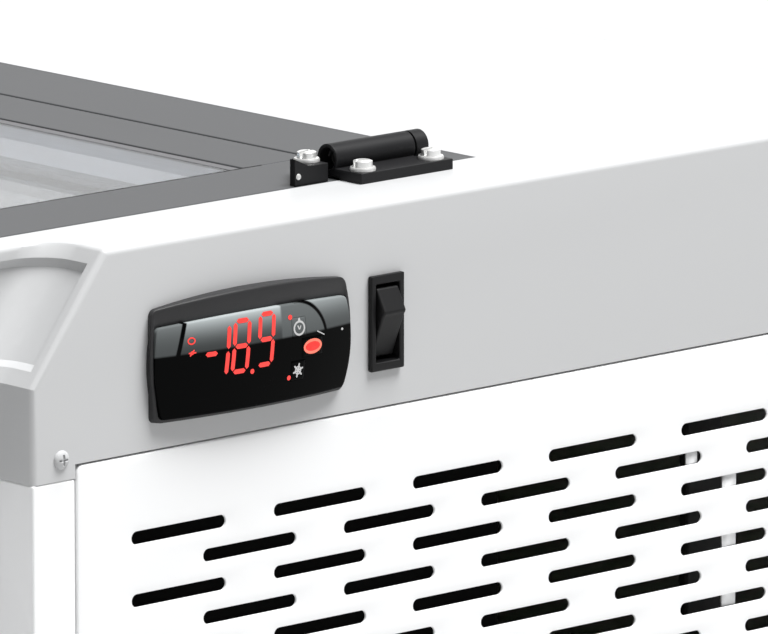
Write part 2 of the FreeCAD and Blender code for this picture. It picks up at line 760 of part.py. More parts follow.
bolts = []
for i, x in enumerate((d.bolt_inset, d.hinge_length - d.bolt_inset)):
    bolt = bolt_head(f"rim_bolt_{i}", hinge_x + x, main + d.hinge_front + d.bolt_behind, rim + d.hinge_plate)
    bolts += [bolt, mirrored(f"left_rim_bolt_{i}", bolt)]
part("hinge_bolts", group("hinge_bolts", *bolts))
bracket_bolt = bolt_head("bracket_bolt", bracket_right - d.bolt_size * 0.55, axis_y + d.strap_thick,
                         rim + d.bracket_height)
rivet = rod("bracket_rivet", "Y", (bracket_x + d.rivet_radius * 1.5, bracket_near - d.rivet_head,
                                   rim + d.bracket_height / 2),
            d.rivet_radius, d.rivet_head)
part("bracket_bolts", group("bracket_bolts", bracket_bolt, rivet, mirrored("left_bracket_bolt", bracket_bolt),
                            mirrored("left_rivet", rivet)))

# Screw heads: one on each of the collar's tabs and two at the foot of the slotted panel.
tab_screw_z = face_base + d.screw_rise
foot_screw_z = panel_base + d.screw_inset
heads = {"tab_left": (panel_left - d.tab_screw, tab_screw_z),
         "tab_right": (panel_right + d.tab_screw, tab_screw_z),
         "foot_left": (panel_left + d.screw_inset, foot_screw_z),
         "foot_right": (panel_right - d.screw_inset, foot_screw_z)}
part("body_screws", group("body_screws", *[rod(name + "_screw", "Y", (x, face - d.screw_head, z),
                                               d.screw_radius,
                                               d.screw_head) for name, (x, z) in heads.items()]))

# Controls: a panel controller with a bulging clear front, three keys beside its display, and a rocker switch.
bezel_x0 = d.controller_x - d.controller_width / 2
bezel_z0 = controller_z - d.controller_height / 2
bezel_slab = block("bezel_slab", (bezel_x0, face - d.bezel_thick, bezel_z0),
                   (d.controller_width, d.bezel_thick, d.controller_height + d.bezel_crown))


def arch_radius(width, rise):
    """Radius of the arc that rises so much over that width."""
    return (width * width / 4 + rise * rise) / (rise * 2)


bezel_arc = arch_radius(d.controller_width, d.bezel_thick - d.bezel_end)
bezel_drum = rod("bezel_drum", "Z", (d.controller_x, face - d.bezel_thick + bezel_arc, bezel_z0 - 1),
                 bezel_arc, d.controller_height + d.bezel_crown + 2)
crown_arc = arch_radius(d.controller_width, d.bezel_crown)
crown_drum = rod("crown_drum", "Y", (d.controller_x, face - d.bezel_thick - 1,
                                     bezel_z0 + d.controller_height + d.bezel_crown - crown_arc),
                 crown_arc, d.bezel_thick + 2)
bezel_body = doc.addObject("Part::MultiCommon", "bezel_body")
bezel_body.Shapes = [bezel_slab, bezel_drum, crown_drum]
lens_x0 = bezel_x0 + d.lens_side
lens_z0 = bezel_z0 + d.lens_foot
lens_width = d.controller_width - d.lens_side * 2
lens_height = d.controller_height - d.lens_foot - d.lens_border
window = block("window_cut", (lens_x0, face - d.bezel_thick - 1, lens_z0),
               (lens_width, d.bezel_thick + 1 - d.bezel_back, lens_height))
bulge = d.controller_proud - d.lens_end
keys = {"set": (d.set_key_x, d.set_key_z), "down": (d.down_key_x, d.down_key_z),
        "up": (d.up_key_x, d.up_key_z)}


def key_front(x):
    """Where a key's face lies: just under the arched window."""
    return face - d.controller_proud + bulge * x * x * 4 / (lens_width * lens_width) + d.key_sunk


def key_block(name, spot, play, front, length):
    """A key or, with play round it, the opening that it travels in."""
    side = d.key_size / 2 + play
    return block(name, (d.controller_x + spot[0] - side, front, controller_z + spot[1] - side),
                 (side * 2, length, side * 2))


key_holes = [key_block(name + "_key_hole", spot, d.key_play, face - d.controller_proud - 1,
                       d.controller_proud + 2)
             for name, spot in keys.items()]
case_open = block("case_open", (bezel_x0 + d.bezel_ledge, face - d.bezel_back - 1, bezel_z0 + d.bezel_ledge),
                  (d.controller_width - d.bezel_ledge * 2, d.bezel_back + 2,
                   d.controller_height - d.bezel_ledge * 2))
part("controller_bezel", cut("controller_bezel", bezel_body, window, case_open, *key_holes))
lens_slab = block("lens_slab", (lens_x0, face - d.controller_proud, lens_z0),
                  (lens_width, d.controller_proud - d.bezel_back, lens_height))
lens_arc = arch_radius(lens_width, bulge)
lens_drum = rod("lens_drum", "Z", (d.controller_x, face - d.controller_proud + lens_arc, lens_z0 - 1),
                lens_arc, lens_height + 2)
lens_form = doc.addObject("Part::Common", "lens_form")
lens_form.Base = lens_slab
lens_form.Tool = lens_drum
part("controller_lens", cut("controller_lens", lens_form, *key_holes))
part("controller_case", block("controller_case", (d.controller_x - d.case_width / 2 + d.case_play, face,
                                                  controller_z - d.case_height / 2 + d.case_play),
                              (d.case_width - d.case_play * 2, d.case_depth - d.case_play * 10,
                               d.case_height - d.case_play * 2)))
for name, spot in keys.items():
    front = key_front(spot[0])
    part("key_" + name, key_block("key_" + name, spot, Size("0"), front,
                                  face - d.key_travel - d.key_play - front))

bezel_outer = block("switch_outer", (d.switch_x - d.switch_width / 2, face - d.switch_proud,
                                     switch_z - d.switch_height / 2),
                    (d.switch_width, d.switch_proud, d.switch_height))
switch_side = d.rocker_play + d.switch_wall
body_outer = block("switch_body", (d.switch_x - d.rocker_width / 2 - switch_side, face,
                                   switch_z - d.switch_height / 2 + d.switch_snap),
                   (d.rocker_width + switch_side * 2, d.bump_depth - d.switch_proud * 2,
                    d.switch_height - d.switch_snap * 2))
rocker_well = block("rocker_well", (d.switch_x - d.rocker_width / 2 - d.rocker_play,
                                    face - d.switch_proud - 1,
                                    switch_z - d.rocker_height / 2 - d.rocker_room),
                    (d.rocker_width + d.rocker_play * 2, d.bump_depth / 2 + 1,
                     d.rocker_height + d.rocker_room * 2))
part("switch_bezel", cut("switch_bezel", join("switch_moulding", bezel_outer, body_outer), rocker_well))
rocker = doc.addObject("PartDesign::Body", "switch_rocker")
rocker_half = d.rocker_height / 2
rocker_front = -face + d.switch_proud
rocker_side = outline(rocker, "YZ_Plane", d.switch_x - d.rocker_width / 2, [
    (face + 7, switch_z - rocker_half * 0.55), (face + 7, switch_z + rocker_half * 0.55),
    (face + 1.2, switch_z + rocker_half - 0.6), (face - 1.6, switch_z + rocker_half - 0.6),
    (face - 5.6, switch_z + rocker_half * 0.32), (face - 4.4, switch_z + rocker_half * 0.18),
    (face - 0.2, switch_z - rocker_half * 0.7), (face + 0.9, switch_z - rocker_half + 0.6),
    (face + 3, switch_z - rocker_half + 0.6)], "rocker_profile")
pad(rocker, rocker_side, d.rocker_width, "rocker_pad")
part("switch_rocker", rocker)

# Tank: a welded liner with a shallow shelf over the machine bay, in moulded foam.
tank_w, tank_d = tank_x1 - tank_x0, tank_y1 - tank_y0
shelf_x = tank_x1 - d.step_length
liner_deep = block("liner_deep", (tank_x0, tank_y0, d.tank_floor),
                   (shelf_x - tank_x0, tank_d, ledge_base - d.tank_floor))
liner_shelf = block("liner_shelf", (tank_x0, tank_y0, d.step_floor),
                    (tank_w, tank_d, ledge_base - d.step_floor))
liner_out_deep = block("liner_out_deep", (tank_x0 - d.liner_wall, tank_y0 - d.liner_wall,
                                          d.tank_floor - d.liner_wall),
                       (shelf_x - tank_x0 + d.liner_wall * 2, tank_d + d.liner_wall * 2,
                        ledge_base - d.tank_floor + d.liner_wall))
liner_out_shelf = block("liner_out_shelf", (tank_x0 - d.liner_wall, tank_y0 - d.liner_wall,
                                            d.step_floor - d.liner_wall),
                        (tank_w + d.liner_wall * 2, tank_d + d.liner_wall * 2,
                         ledge_base - d.step_floor + d.liner_wall))
liner_flange = block("liner_flange", (tank_x0 - d.liner_lip, tank_y0 - d.liner_lip, flange_base),
                     (tank_w + d.liner_lip * 2, tank_d + d.liner_lip * 2, d.liner_wall))
part("tank_liner", cut("tank_liner", join("liner_solid", liner_out_deep, liner_out_shelf, liner_flange),
                       liner_deep, liner_shelf))

foam_x0, foam_y0 = left + d.skin, main + d.skin
foam_z0 = d.body_base + d.base_lip
foam_outer = block("foam_outer", (foam_x0, foam_y0, foam_z0),
                   (well_right - foam_x0, d.body_depth - d.skin * 2, flange_base - foam_z0))
room = d.liner_wall + d.coil_gap
foam_deep = block("foam_deep", (tank_x0 - room, tank_y0 - room, d.tank_floor - d.liner_wall),
                  (shelf_x - tank_x0 + room * 2, tank_d + room * 2,
                   flange_base - d.tank_floor + d.liner_wall))
foam_shelf = block("foam_shelf", (tank_x0 - room, tank_y0 - room, d.step_floor - d.liner_wall),
                   (tank_w + room * 2, tank_d + room * 2, flange_base - d.step_floor + d.liner_wall))
bay_x = shelf_x + d.foam_floor
bay_top = d.step_floor - d.foam_floor
machine_bay = block("machine_bay", (bay_x, foam_y0 - 1, foam_z0 - 1),
                    (well_right - bay_x + 1, d.body_depth, bay_top - foam_z0 + 1))
foam_pocket = block("foam_pocket", (d.controller_x - d.case_width / 2 - 4, foam_y0 - 1, face_base),
                    (d.case_width + 8, d.case_depth - d.bump_depth, flange_base - face_base + 1))
part("insulation", cut("insulation", foam_outer, foam_deep, foam_shelf, machine_bay, foam_pocket))
part("air_baffle", block("air_baffle", (bump_left + d.skin, main + d.skin - d.baffle_thick, bay_top),
                         (well_right - bump_left - d.skin, d.baffle_thick, collar_base - bay_top)))

# Evaporator: loops of flattened tube pressed round the liner, one above the other.
hug = d.liner_wall
loops = []
for i in range(int(number(d.coil_loops))):
    z = flange_base - d.coil_drop - d.coil_pitch * i
    loop_out = block(f"loop_out_{i}", (tank_x0 - hug - d.coil_tube, tank_y0 - hug - d.coil_tube, z),
                     (tank_w + (hug + d.coil_tube) * 2, tank_d + (hug + d.coil_tube) * 2, d.coil_height))
    loop_in = block(f"loop_in_{i}", (tank_x0 - hug, tank_y0 - hug, z - 1),
                    (tank_w + hug * 2, tank_d + hug * 2, d.coil_height + 2))
    loops.append(cut(f"loop_{i}", loop_out, loop_in))
part("evaporator_coil", group("evaporator_coil", *loops))

# Machine bay: hermetic compressor on rubber feet, finned condenser, fan in its shroud, drier and pipe.
floor_z = d.body_base + d.skin
compressor_x = bay_x + d.compressor_gap + d.compressor_radius + d.foot_reach
shell_z = floor_z + d.grommet_height + d.foot_plate
shell = doc.addObject("PartDesign::Body", "compressor_shell")
shell_top = shell_z + d.compressor_height
pot = outline(shell, "XZ_Plane", -d.compressor_y, [
    (compressor_x, shell_z), (compressor_x + d.compressor_radius, shell_z),
    (compressor_x + d.compressor_radius, shell_top - d.shell_crown),
    (compressor_x + d.crown_radius, shell_top), (compressor_x, shell_top)], "pot_profile")
turned = shell.newObject("PartDesign::Revolution", "pot_revolution")
turned.Profile = pot
axis_line = shell.newObject("PartDesign::Line", "pot_axis")
place(axis_line, compressor_x, d.compressor_y, 0)
turned.ReferenceAxis = (axis_line, [""])
turned.Angle = 360
doc.recompute()
foot_x = d.compressor_radius + d.foot_reach
foot_y = foot_x * 0.6
foot_plate = block("foot_plate", (compressor_x - foot_x, d.compressor_y - foot_y, shell_z - d.foot_plate),
                   (foot_x * 2, foot_y * 2, d.foot_plate))
part("compressor", join("compressor", shell, foot_plate))
feet = []
for i, (a, b) in enumerate(((-1, -1), (1, -1), (-1, 1), (1, 1))):
    grommet = doc.addObject("Part::Prism", f"grommet_{i}")
    grommet.Polygon = 8
    bind(grommet, Circumradius=d.grommet_radius, Height=d.grommet_height)
    place(grommet, compressor_x + (foot_x - d.grommet_inset) * a,
          d.compressor_y + (foot_y - d.grommet_inset) * b, floor_z)
    feet.append(grommet)
part("compressor_grommets", group("compressor_grommets", *feet))
part("relay_box", block("relay_box", (compressor_x + d.compressor_radius + 0.3,
                                      d.compressor_y - d.relay_depth / 2, shell_z + d.relay_height * 0.6),
                        (d.relay_width, d.relay_depth, d.relay_height)))

# Condenser: a block of tube turns in which upright fins stand, with the pipe ends at its left side.
condenser_x = panel_right - d.condenser_width - d.condenser_inset
condenser_y = face + d.condenser_gap
core = block("condenser_core", (condenser_x, condenser_y + d.core_inset, floor_z + d.core_inset),
             (d.condenser_width, d.condenser_depth - d.core_inset * 2, d.condenser_height - d.core_inset * 2))
fins = []
fin_count = int(number(d.condenser_width / d.fin_pitch)) + 1
fin_step = (d.condenser_width - d.fin_thick) / (fin_count - 1)
for i in range(fin_count):
    fins.append(block(f"fin_{i}", (condenser_x + fin_step * i, condenser_y, floor_z),
                      (d.fin_thick, d.condenser_depth, d.condenser_height)))
header_y = condenser_y + d.condenser_depth / 2
inlet_z = floor_z + d.condenser_height * 0.75
outlet_z = floor_z + d.condenser_height * 0.1
inlet_x = compressor_x - d.header_radius
headers = [rod("condenser_inlet", "X", (inlet_x, header_y, inlet_z), d.header_radius,
               condenser_x - inlet_x + 1),
           rod("condenser_outlet", "X", (condenser_x - d.header_reach, header_y, outlet_z), d.header_radius,
               d.header_reach + 1)]
part("condenser_coil", join("condenser_coil", core, *fins, *headers))

# Fan: a shroud behind the condenser, a motor on the shroud's cross and five flat blades set at a pitch.
fan_x = condenser_x + d.condenser_width / 2
fan_z = floor_z + d.condenser_height / 2
shroud_y = condenser_y + d.condenser_depth
motor_y = shroud_y + d.shroud_depth
shroud_box = block("shroud_box", (condenser_x, shroud_y, floor_z),
                   (d.condenser_width, d.shroud_depth, d.condenser_height))
shroud_inside = block("shroud_inside", (condenser_x + d.shroud_wall, shroud_y - 1, floor_z + d.shroud_wall),
                      (d.condenser_width - d.shroud_wall * 2, d.shroud_depth - d.shroud_wall + 1,
                       d.condenser_height - d.shroud_wall * 2))
shroud_bore = rod("shroud_bore", "Y", (fan_x, shroud_y, fan_z), d.fan_radius + d.fan_clearance,
                  d.shroud_depth + 1)
arm_reach = d.fan_radius + d.fan_clearance + 3
arms = [block(f"motor_arm_{i}", (fan_x - x, motor_y - d.shroud_wall, fan_z - z),
              (x * 2, d.shroud_wall, z * 2))
        for i, (x, z) in enumerate(((arm_reach, d.spider_arm / 2), (d.spider_arm / 2, arm_reach)))]
hub_hole = rod("hub_hole", "Y", (fan_x, motor_y - 10, fan_z), d.shaft_radius * 2, Size("20"))
part("fan_shroud", join("fan_shroud", cut("shroud_shell", shroud_box, shroud_inside, shroud_bore),
                        cut("motor_spider", join("motor_cross", *arms), hub_hole)))
part("fan_motor", join("fan_motor", rod("motor_can", "Y", (fan_x, motor_y, fan_z), d.motor_radius,
                                        d.motor_length),
                       rod("motor_shaft", "Y", (fan_x, motor_y - d.shaft_length, fan_z), d.shaft_radius,
                           d.shaft_length + 1)))
hub_y = motor_y - d.shaft_length - 2
hub = rod("fan_hub", "Y", (fan_x, hub_y, fan_z), d.hub_radius, d.hub_length)
hub_bore = rod("fan_bore", "Y", (fan_x, motor_y - d.shaft_length, fan_z), d.shaft_radius + d.running_fit,
               d.hub_length)
vanes = doc.addObject("Part::Feature", "fan_vanes")
hub_centre = FreeCAD.Vector(number(fan_x), number(hub_y + d.hub_length / 2), number(fan_z))
chord, thick, reach = number(d.blade_chord), number(d.blade_thick), number(d.fan_radius)
root = number(d.hub_radius) * 0.8
blades = []
for i in range(int(number(d.blade_count))):
    blade = Part.makeBox(chord, thick, reach - root, FreeCAD.Vector(-chord / 2, -thick / 2, root))
    blade.rotate(FreeCAD.Vector(), AXIS_Z, number(d.blade_pitch))
    blade.rotate(FreeCAD.Vector(), AXIS_Y, 360 * i / number(d.blade_count))
    blade.translate(hub_centre)
    blades.append(blade)
vanes.Shape = Part.makeCompound(blades)
part("fan_blades", cut("fan_blades", join("fan_solid", hub, vanes), hub_bore))

# Refrigerant line: a pipe from the compressor to the condenser's inlet, and the filter drier on its bracket.
pipe_start = header_y + d.header_radius
part("discharge_pipe", rod("discharge_pipe", "Y", (compressor_x, pipe_start, inlet_z), d.pipe_radius,
                           d.compressor_y - d.compressor_radius - pipe_start))
drier_x, drier_y = condenser_x - d.drier_gap, condenser_y + d.drier_gap
drier_body = rod("drier_body", "Z", (drier_x, drier_y, floor_z + d.drier_height), d.drier_radius,
                 d.drier_length)
drier_bracket = block("drier_bracket", (drier_x - d.drier_radius, drier_y + d.drier_radius - 1, floor_z),
                      (d.drier_radius * 2, d.skin, d.drier_height + d.drier_length / 2))
part("filter_drier", join("filter_drier", drier_body, drier_bracket))

# Inner upright: a folded strip that stands behind the slots and holds up the collar's end.
upright_x = panel_right - d.upright_inset
upright_y = face + d.upright_behind
upright_height = rim - d.skin * 3 - floor_z
upright_face = block("upright_face", (upright_x, upright_y, floor_z),
                     (d.upright_width, d.skin, upright_height))
upright_web = block("upright_web", (upright_x + d.upright_width - d.skin, upright_y, floor_z),
                    (d.skin, d.upright_depth, upright_height))
part("inner_upright", join("inner_upright", upright_face, upright_web))

# Castors: a plate, a fork that swivels under it, and a wheel that trails behind the king pin.
plate_z = d.body_base - d.castor_plate
crown_z = plate_z - d.castor_gap - d.fork_crown
leg_x = d.wheel_width / 2 + d.fork_gap
spots = {"near_left": (left + d.castor_inset, main + d.castor_inset, 1),
         "near_right": (right - d.castor_inset, main + d.castor_inset, 1),
         "far_left": (left + d.castor_inset, rear - d.castor_inset, -1),
         "far_right": (right - d.castor_inset, rear - d.castor_inset, -1)}
plates = []
for name, (x, y, way) in spots.items():
    half_side = d.castor_side / 2
    slab = block(name + "_slab", (x - half_side, y - half_side, plate_z),
                 (d.castor_side, d.castor_side, d.castor_plate))
    pin_hole = rod(name + "_pin_hole", "Z", (x, y, plate_z - 1), d.king_radius + d.running_fit,
                   d.castor_plate + 2)
    plates.append(cut(name + "_plate", slab, pin_hole))
    wheel_y = y + d.castor_trail * way
    fork = doc.addObject("PartDesign::Body", name + "_side")
    side = outline(fork, "YZ_Plane", x - leg_x - d.fork_leg, [
        (wheel_y - d.fork_eye * way, d.wheel_radius - d.fork_eye),
        (wheel_y + d.fork_eye * way, d.wheel_radius - d.fork_eye),
        (wheel_y + d.fork_toe * way, crown_z + d.fork_crown),
        (y - d.fork_heel * way, crown_z + d.fork_crown),
        (y - d.fork_heel * way, crown_z)], name + "_profile")
    pad(fork, side, (leg_x + d.fork_leg) * 2, name + "_pad")
    wheel_space = block(name + "_space", (x - leg_x, y - d.castor_side, 0),
                        (leg_x * 2, d.castor_side * 2, crown_z))
    king = rod(name + "_king", "Z", (x, y, crown_z), d.king_radius,
               d.fork_crown + d.castor_gap + d.castor_plate - 0.5)
    axle = rod(name + "_axle", "X", (x - leg_x - 1, wheel_y, d.wheel_radius), d.axle_radius, (leg_x + 1) * 2)
    part("castor_fork_" + name, join("castor_fork_" + name, cut(name + "_legs", fork, wheel_space), king,
                                     axle))
    tyre = rod(name + "_tyre", "X", (x - d.wheel_width / 2, wheel_y, d.wheel_radius), d.wheel_radius,
               d.wheel_width)
    wheel_bore = rod(name + "_wheel_bore", "X", (x - d.wheel_width, wheel_y, d.wheel_radius),
                     d.axle_radius + d.running_fit, d.wheel_width * 2)
    part("castor_wheel_" + name, cut(name + "_wheel", tyre, wheel_bore))
part("castor_plates", group("castor_plates", *plates))

# Every object is checked before anything is written.
doc.recompute()
for thing in doc.Objects:
    if "Invalid" in thing.State or "Error" in thing.State:
        raise RuntimeError(f"{thing.Name} did not recompute: {thing.State}")
os.makedirs("parts", exist_ok=True)
for name, thing in parts.items():
    if thing.Shape.isNull() or not thing.Shape.isValid():
        raise RuntimeError(f"{name} has no valid shape")
    thing.Shape.exportStep(f"parts/{name}.step")
print(len(parts), "pieces")
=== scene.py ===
import json
from math import cos, pi, radians, sin

import bmesh
import bpy
import numpy as np
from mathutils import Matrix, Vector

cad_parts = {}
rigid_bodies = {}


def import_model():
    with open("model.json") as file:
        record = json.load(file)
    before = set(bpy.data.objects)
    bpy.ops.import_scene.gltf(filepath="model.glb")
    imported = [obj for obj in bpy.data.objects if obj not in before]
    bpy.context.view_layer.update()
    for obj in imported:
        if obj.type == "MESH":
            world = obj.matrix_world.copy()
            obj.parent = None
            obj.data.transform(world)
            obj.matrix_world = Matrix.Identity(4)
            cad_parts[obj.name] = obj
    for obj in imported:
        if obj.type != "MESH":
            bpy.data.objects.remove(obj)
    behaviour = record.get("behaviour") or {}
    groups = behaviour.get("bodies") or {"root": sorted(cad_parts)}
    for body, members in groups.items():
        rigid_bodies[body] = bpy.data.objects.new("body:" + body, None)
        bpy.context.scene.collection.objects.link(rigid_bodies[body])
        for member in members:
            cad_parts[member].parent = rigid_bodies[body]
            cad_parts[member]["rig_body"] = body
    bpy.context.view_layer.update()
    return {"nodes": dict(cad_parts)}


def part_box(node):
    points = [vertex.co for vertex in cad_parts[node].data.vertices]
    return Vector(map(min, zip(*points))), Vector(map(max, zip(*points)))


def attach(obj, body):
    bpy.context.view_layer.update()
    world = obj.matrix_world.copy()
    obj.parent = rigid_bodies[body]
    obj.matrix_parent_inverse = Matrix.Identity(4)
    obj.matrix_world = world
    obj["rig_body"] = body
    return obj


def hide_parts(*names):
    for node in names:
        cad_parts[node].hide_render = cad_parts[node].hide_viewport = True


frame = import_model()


# Floor pan, side walls, back wall, front wall and corner posts.
# Folded steel sheet with a white powder coat, which is baked on after bending and so runs
# round every fold. The walls stand on the pan and are riveted to it from inside.

MM = 0.001
same_point = 2e-6


def coat_grain_group():
    """Cloudy tone, uneven gloss and fine relief, all from noise in the piece's own metres.

    tone = colour times (1 + spread times centred noise); gloss = roughness plus its spread times
    centred noise; relief is a bump of fine noise.
    """
    group = bpy.data.node_groups.new("coat_grain", "ShaderNodeTree")
    for label, kind, value in (
        ("Colour", "NodeSocketColor", (0.8, 0.8, 0.8, 1)),
        ("Tone Spread", "NodeSocketFloat", 0.05),
        ("Cloud Scale", "NodeSocketFloat", 8.0),
        ("Roughness", "NodeSocketFloat", 0.4),
        ("Gloss Spread", "NodeSocketFloat", 0.08),
        ("Grain Scale", "NodeSocketFloat", 900.0),
        ("Relief", "NodeSocketFloat", 0.01),
    ):
        group.interface.new_socket(name=label, in_out="INPUT", socket_type=kind).default_value = value
    for label, kind in (("Colour", "NodeSocketColor"), ("Roughness", "NodeSocketFloat"),
                        ("Normal", "NodeSocketVector")):
        group.interface.new_socket(name=label, in_out="OUTPUT", socket_type=kind)
    new, link = group.nodes.new, group.links.new
    given, out = new("NodeGroupInput"), new("NodeGroupOutput")
    place = new("ShaderNodeTexCoord")
    cloud, grain = new("ShaderNodeTexNoise"), new("ShaderNodeTexNoise")
    for noise, detail, scale in ((cloud, 4, "Cloud Scale"), (grain, 3, "Grain Scale")):
        noise.inputs["Detail"].default_value = detail
        link(place.outputs["Object"], noise.inputs["Vector"])
        link(given.outputs[scale], noise.inputs["Scale"])

    def swing(noise, spread, middle):
        centred = new("ShaderNodeMath")
        centred.operation = "SUBTRACT"
        centred.inputs[1].default_value = 0.5
        link(noise.outputs["Fac"], centred.inputs[0])
        scaled = new("ShaderNodeMath")
        scaled.operation = "MULTIPLY_ADD"
        link(centred.outputs[0], scaled.inputs[0])
        link(given.outputs[spread], scaled.inputs[1])
        if isinstance(middle, float):
            scaled.inputs[2].default_value = middle
        else:
            link(middle, scaled.inputs[2])
        return scaled

    shade = new("ShaderNodeVectorMath")
    shade.operation = "SCALE"
    link(given.outputs["Colour"], shade.inputs[0])
    link(swing(cloud, "Tone Spread", 1.0).outputs[0], shade.inputs["Scale"])
    link(shade.outputs[0], out.inputs["Colour"])
    link(swing(cloud, "Gloss Spread", given.outputs["Roughness"]).outputs[0], out.inputs["Roughness"])
    bump = new("ShaderNodeBump")
    link(given.outputs["Relief"], bump.inputs["Distance"])
    link(grain.outputs["Fac"], bump.inputs["Height"])
    link(bump.outputs["Normal"], out.inputs["Normal"])
    return group


coat_grain = coat_grain_group()


def coated(name, colour, roughness, tone=0.05, cloud=8.0, uneven=0.08, grain=900.0, relief=0.01,
           **fixed):
    """A finish whose colour, gloss and relief come from the coat_grain group; relief is in millimetres."""
    finish = bpy.data.materials.new(name)
    finish.use_nodes = True
    nodes, link = finish.node_tree.nodes, finish.node_tree.links.new
    shader = nodes["Principled BSDF"]
    coat = nodes.new("ShaderNodeGroup")
    coat.node_tree = coat_grain
    for label, value in (("Colour", (*colour, 1)), ("Tone Spread", tone), ("Cloud Scale", cloud),
                         ("Roughness", roughness), ("Gloss Spread", uneven), ("Grain Scale", grain),
                         ("Relief", relief * MM)):
        coat.inputs[label].default_value = value
    for made, label in (("Colour", "Base Color"), ("Roughness", "Roughness"), ("Normal", "Normal")):
        link(coat.outputs[made], shader.inputs[label])
    for label, value in fixed.items():
        shader.inputs[label.replace("_", " ")].default_value = value
    return finish


def fitted(piece, finish, slot, body, *nodes):
    """The piece takes its finish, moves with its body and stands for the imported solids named."""
    piece.data.materials.append(finish)
    if nodes:
        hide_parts(*nodes)
    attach(piece, body)
    return piece


def rounded_skin(node, fold, finish, slot, segments=2, crease=32):
    """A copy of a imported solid: doubles merged, flat faces joined and edges rounded to fold mm.

    An edge is rounded when its faces turn by more than the crease angle, in degrees.
    """
    solid = frame["nodes"][node]
    mesh = solid.data.copy()
    mesh.name = node + "_skin"
    mesh.materials.clear()
    shape = bmesh.new()
    shape.from_mesh(mesh)
    bmesh.ops.remove_doubles(shape, verts=shape.verts, dist=same_point)
    bmesh.ops.dissolve_limit(shape, angle_limit=radians(1), verts=shape.verts, edges=shape.edges)
    shape.to_mesh(mesh)
    shape.free()
    if "custom_normal" in mesh.attributes:
        mesh.attributes.remove(mesh.attributes["custom_normal"])
    mesh.shade_smooth()
    mesh.set_sharp_from_angle(angle=radians(crease))
    skin = bpy.data.objects.new(node + "_skin", mesh)
    bpy.context.scene.collection.objects.link(skin)
    rounding = skin.modifiers.new("rounded_edges", "BEVEL")
    rounding.width = fold * MM
    rounding.segments = segments
    rounding.limit_method = "ANGLE"
    rounding.angle_limit = radians(crease)
    rounding.harden_normals = True
    return fitted(skin, finish, slot, solid["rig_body"], node)


white_coat = coated("white_powder_coat", (0.84, 0.845, 0.85), 0.34, tone=0.015, cloud=3.0,
                    uneven=0.06, grain=650, relief=0.012)
for panel in ("base_pan", "left_panel", "right_panel", "rear_panel", "front_panel", "corner_posts"):
    rounded_skin(panel, 0.8, white_coat, "painted_steel")


# Slotted service panel over the machine bay.
# One white coated sheet with its edges folded back; the slots are punched in staggered rows,
# and the punch leaves each slot a small rolled lip that turns inwards.

def surface(name, grids, facing=None, sharp=40.0):
    """Mesh over grids of points in mm: each point joins its neighbours in its row and in the next.

    Points that meet are merged, which closes seams and poles. An open sheet is turned to face one way.
    """
    points, quads, count = [], [], 0
    for grid in grids:
        rows, columns = grid.shape[:2]
        index = np.arange(rows * columns).reshape(rows, columns) + count
        quads.append(np.stack([index[:-1, :-1], index[:-1, 1:], index[1:, 1:], index[1:, :-1]], axis=-1))
        points.append(grid.reshape(-1, 3))
        count += rows * columns
    points = np.vstack(points) * MM
    quads = np.vstack([block.reshape(-1, 4) for block in quads])
    mesh = bpy.data.meshes.new(name)
    mesh.vertices.add(len(points))
    mesh.vertices.foreach_set("co", points.ravel())
    mesh.loops.add(quads.size)
    mesh.loops.foreach_set("vertex_index", quads.ravel())
    mesh.polygons.add(len(quads))
    mesh.polygons.foreach_set("loop_start", np.arange(0, quads.size, 4))
    mesh.update(calc_edges=True)
    shape = bmesh.new()
    shape.from_mesh(mesh)
    bmesh.ops.remove_doubles(shape, verts=shape.verts, dist=same_point)
    bmesh.ops.dissolve_degenerate(shape, edges=shape.edges, dist=1e-7)
    bmesh.ops.recalc_face_normals(shape, faces=shape.faces)
    if facing and sum(face.normal.dot(facing) * face.calc_area() for face in shape.faces) < 0:
        bmesh.ops.reverse_faces(shape, faces=shape.faces)
    if facing:
        shape.normal_update()
        backward = [face for face in shape.faces if face.normal.dot(facing) < -0.9]
        bmesh.ops.reverse_faces(shape, faces=backward)
    shape.to_mesh(mesh)
    shape.free()
    mesh.shade_smooth()
    mesh.set_sharp_from_angle(angle=radians(sharp))
    piece = bpy.data.objects.new(name, mesh)
    bpy.context.scene.collection.objects.link(piece)
    return piece


def rounded_loop(half_wide, half_high, radius):
    """Closed outline of a rectangle with quarter-circle corners, as pairs of X and Z about its middle."""
    turn = np.linspace(0, pi / 2, 9)
    corners = [np.column_stack([side * (half_wide - radius) + radius * np.cos(turn + start),
                                up * (half_high - radius) + radius * np.sin(turn + start)])
               for start, side, up in ((0, 1, 1), (pi / 2, -1, 1), (pi, -1, -1), (3 * pi / 2, 1, -1))]
    sides = []
    for first, second in zip(corners, corners[1:] + corners[:1]):
        sides.append(first)
        sides.append(np.linspace(first[-1], second[0], 12)[1:-1])
    loop = np.vstack(sides)
    return np.vstack([loop, loop[:1]])


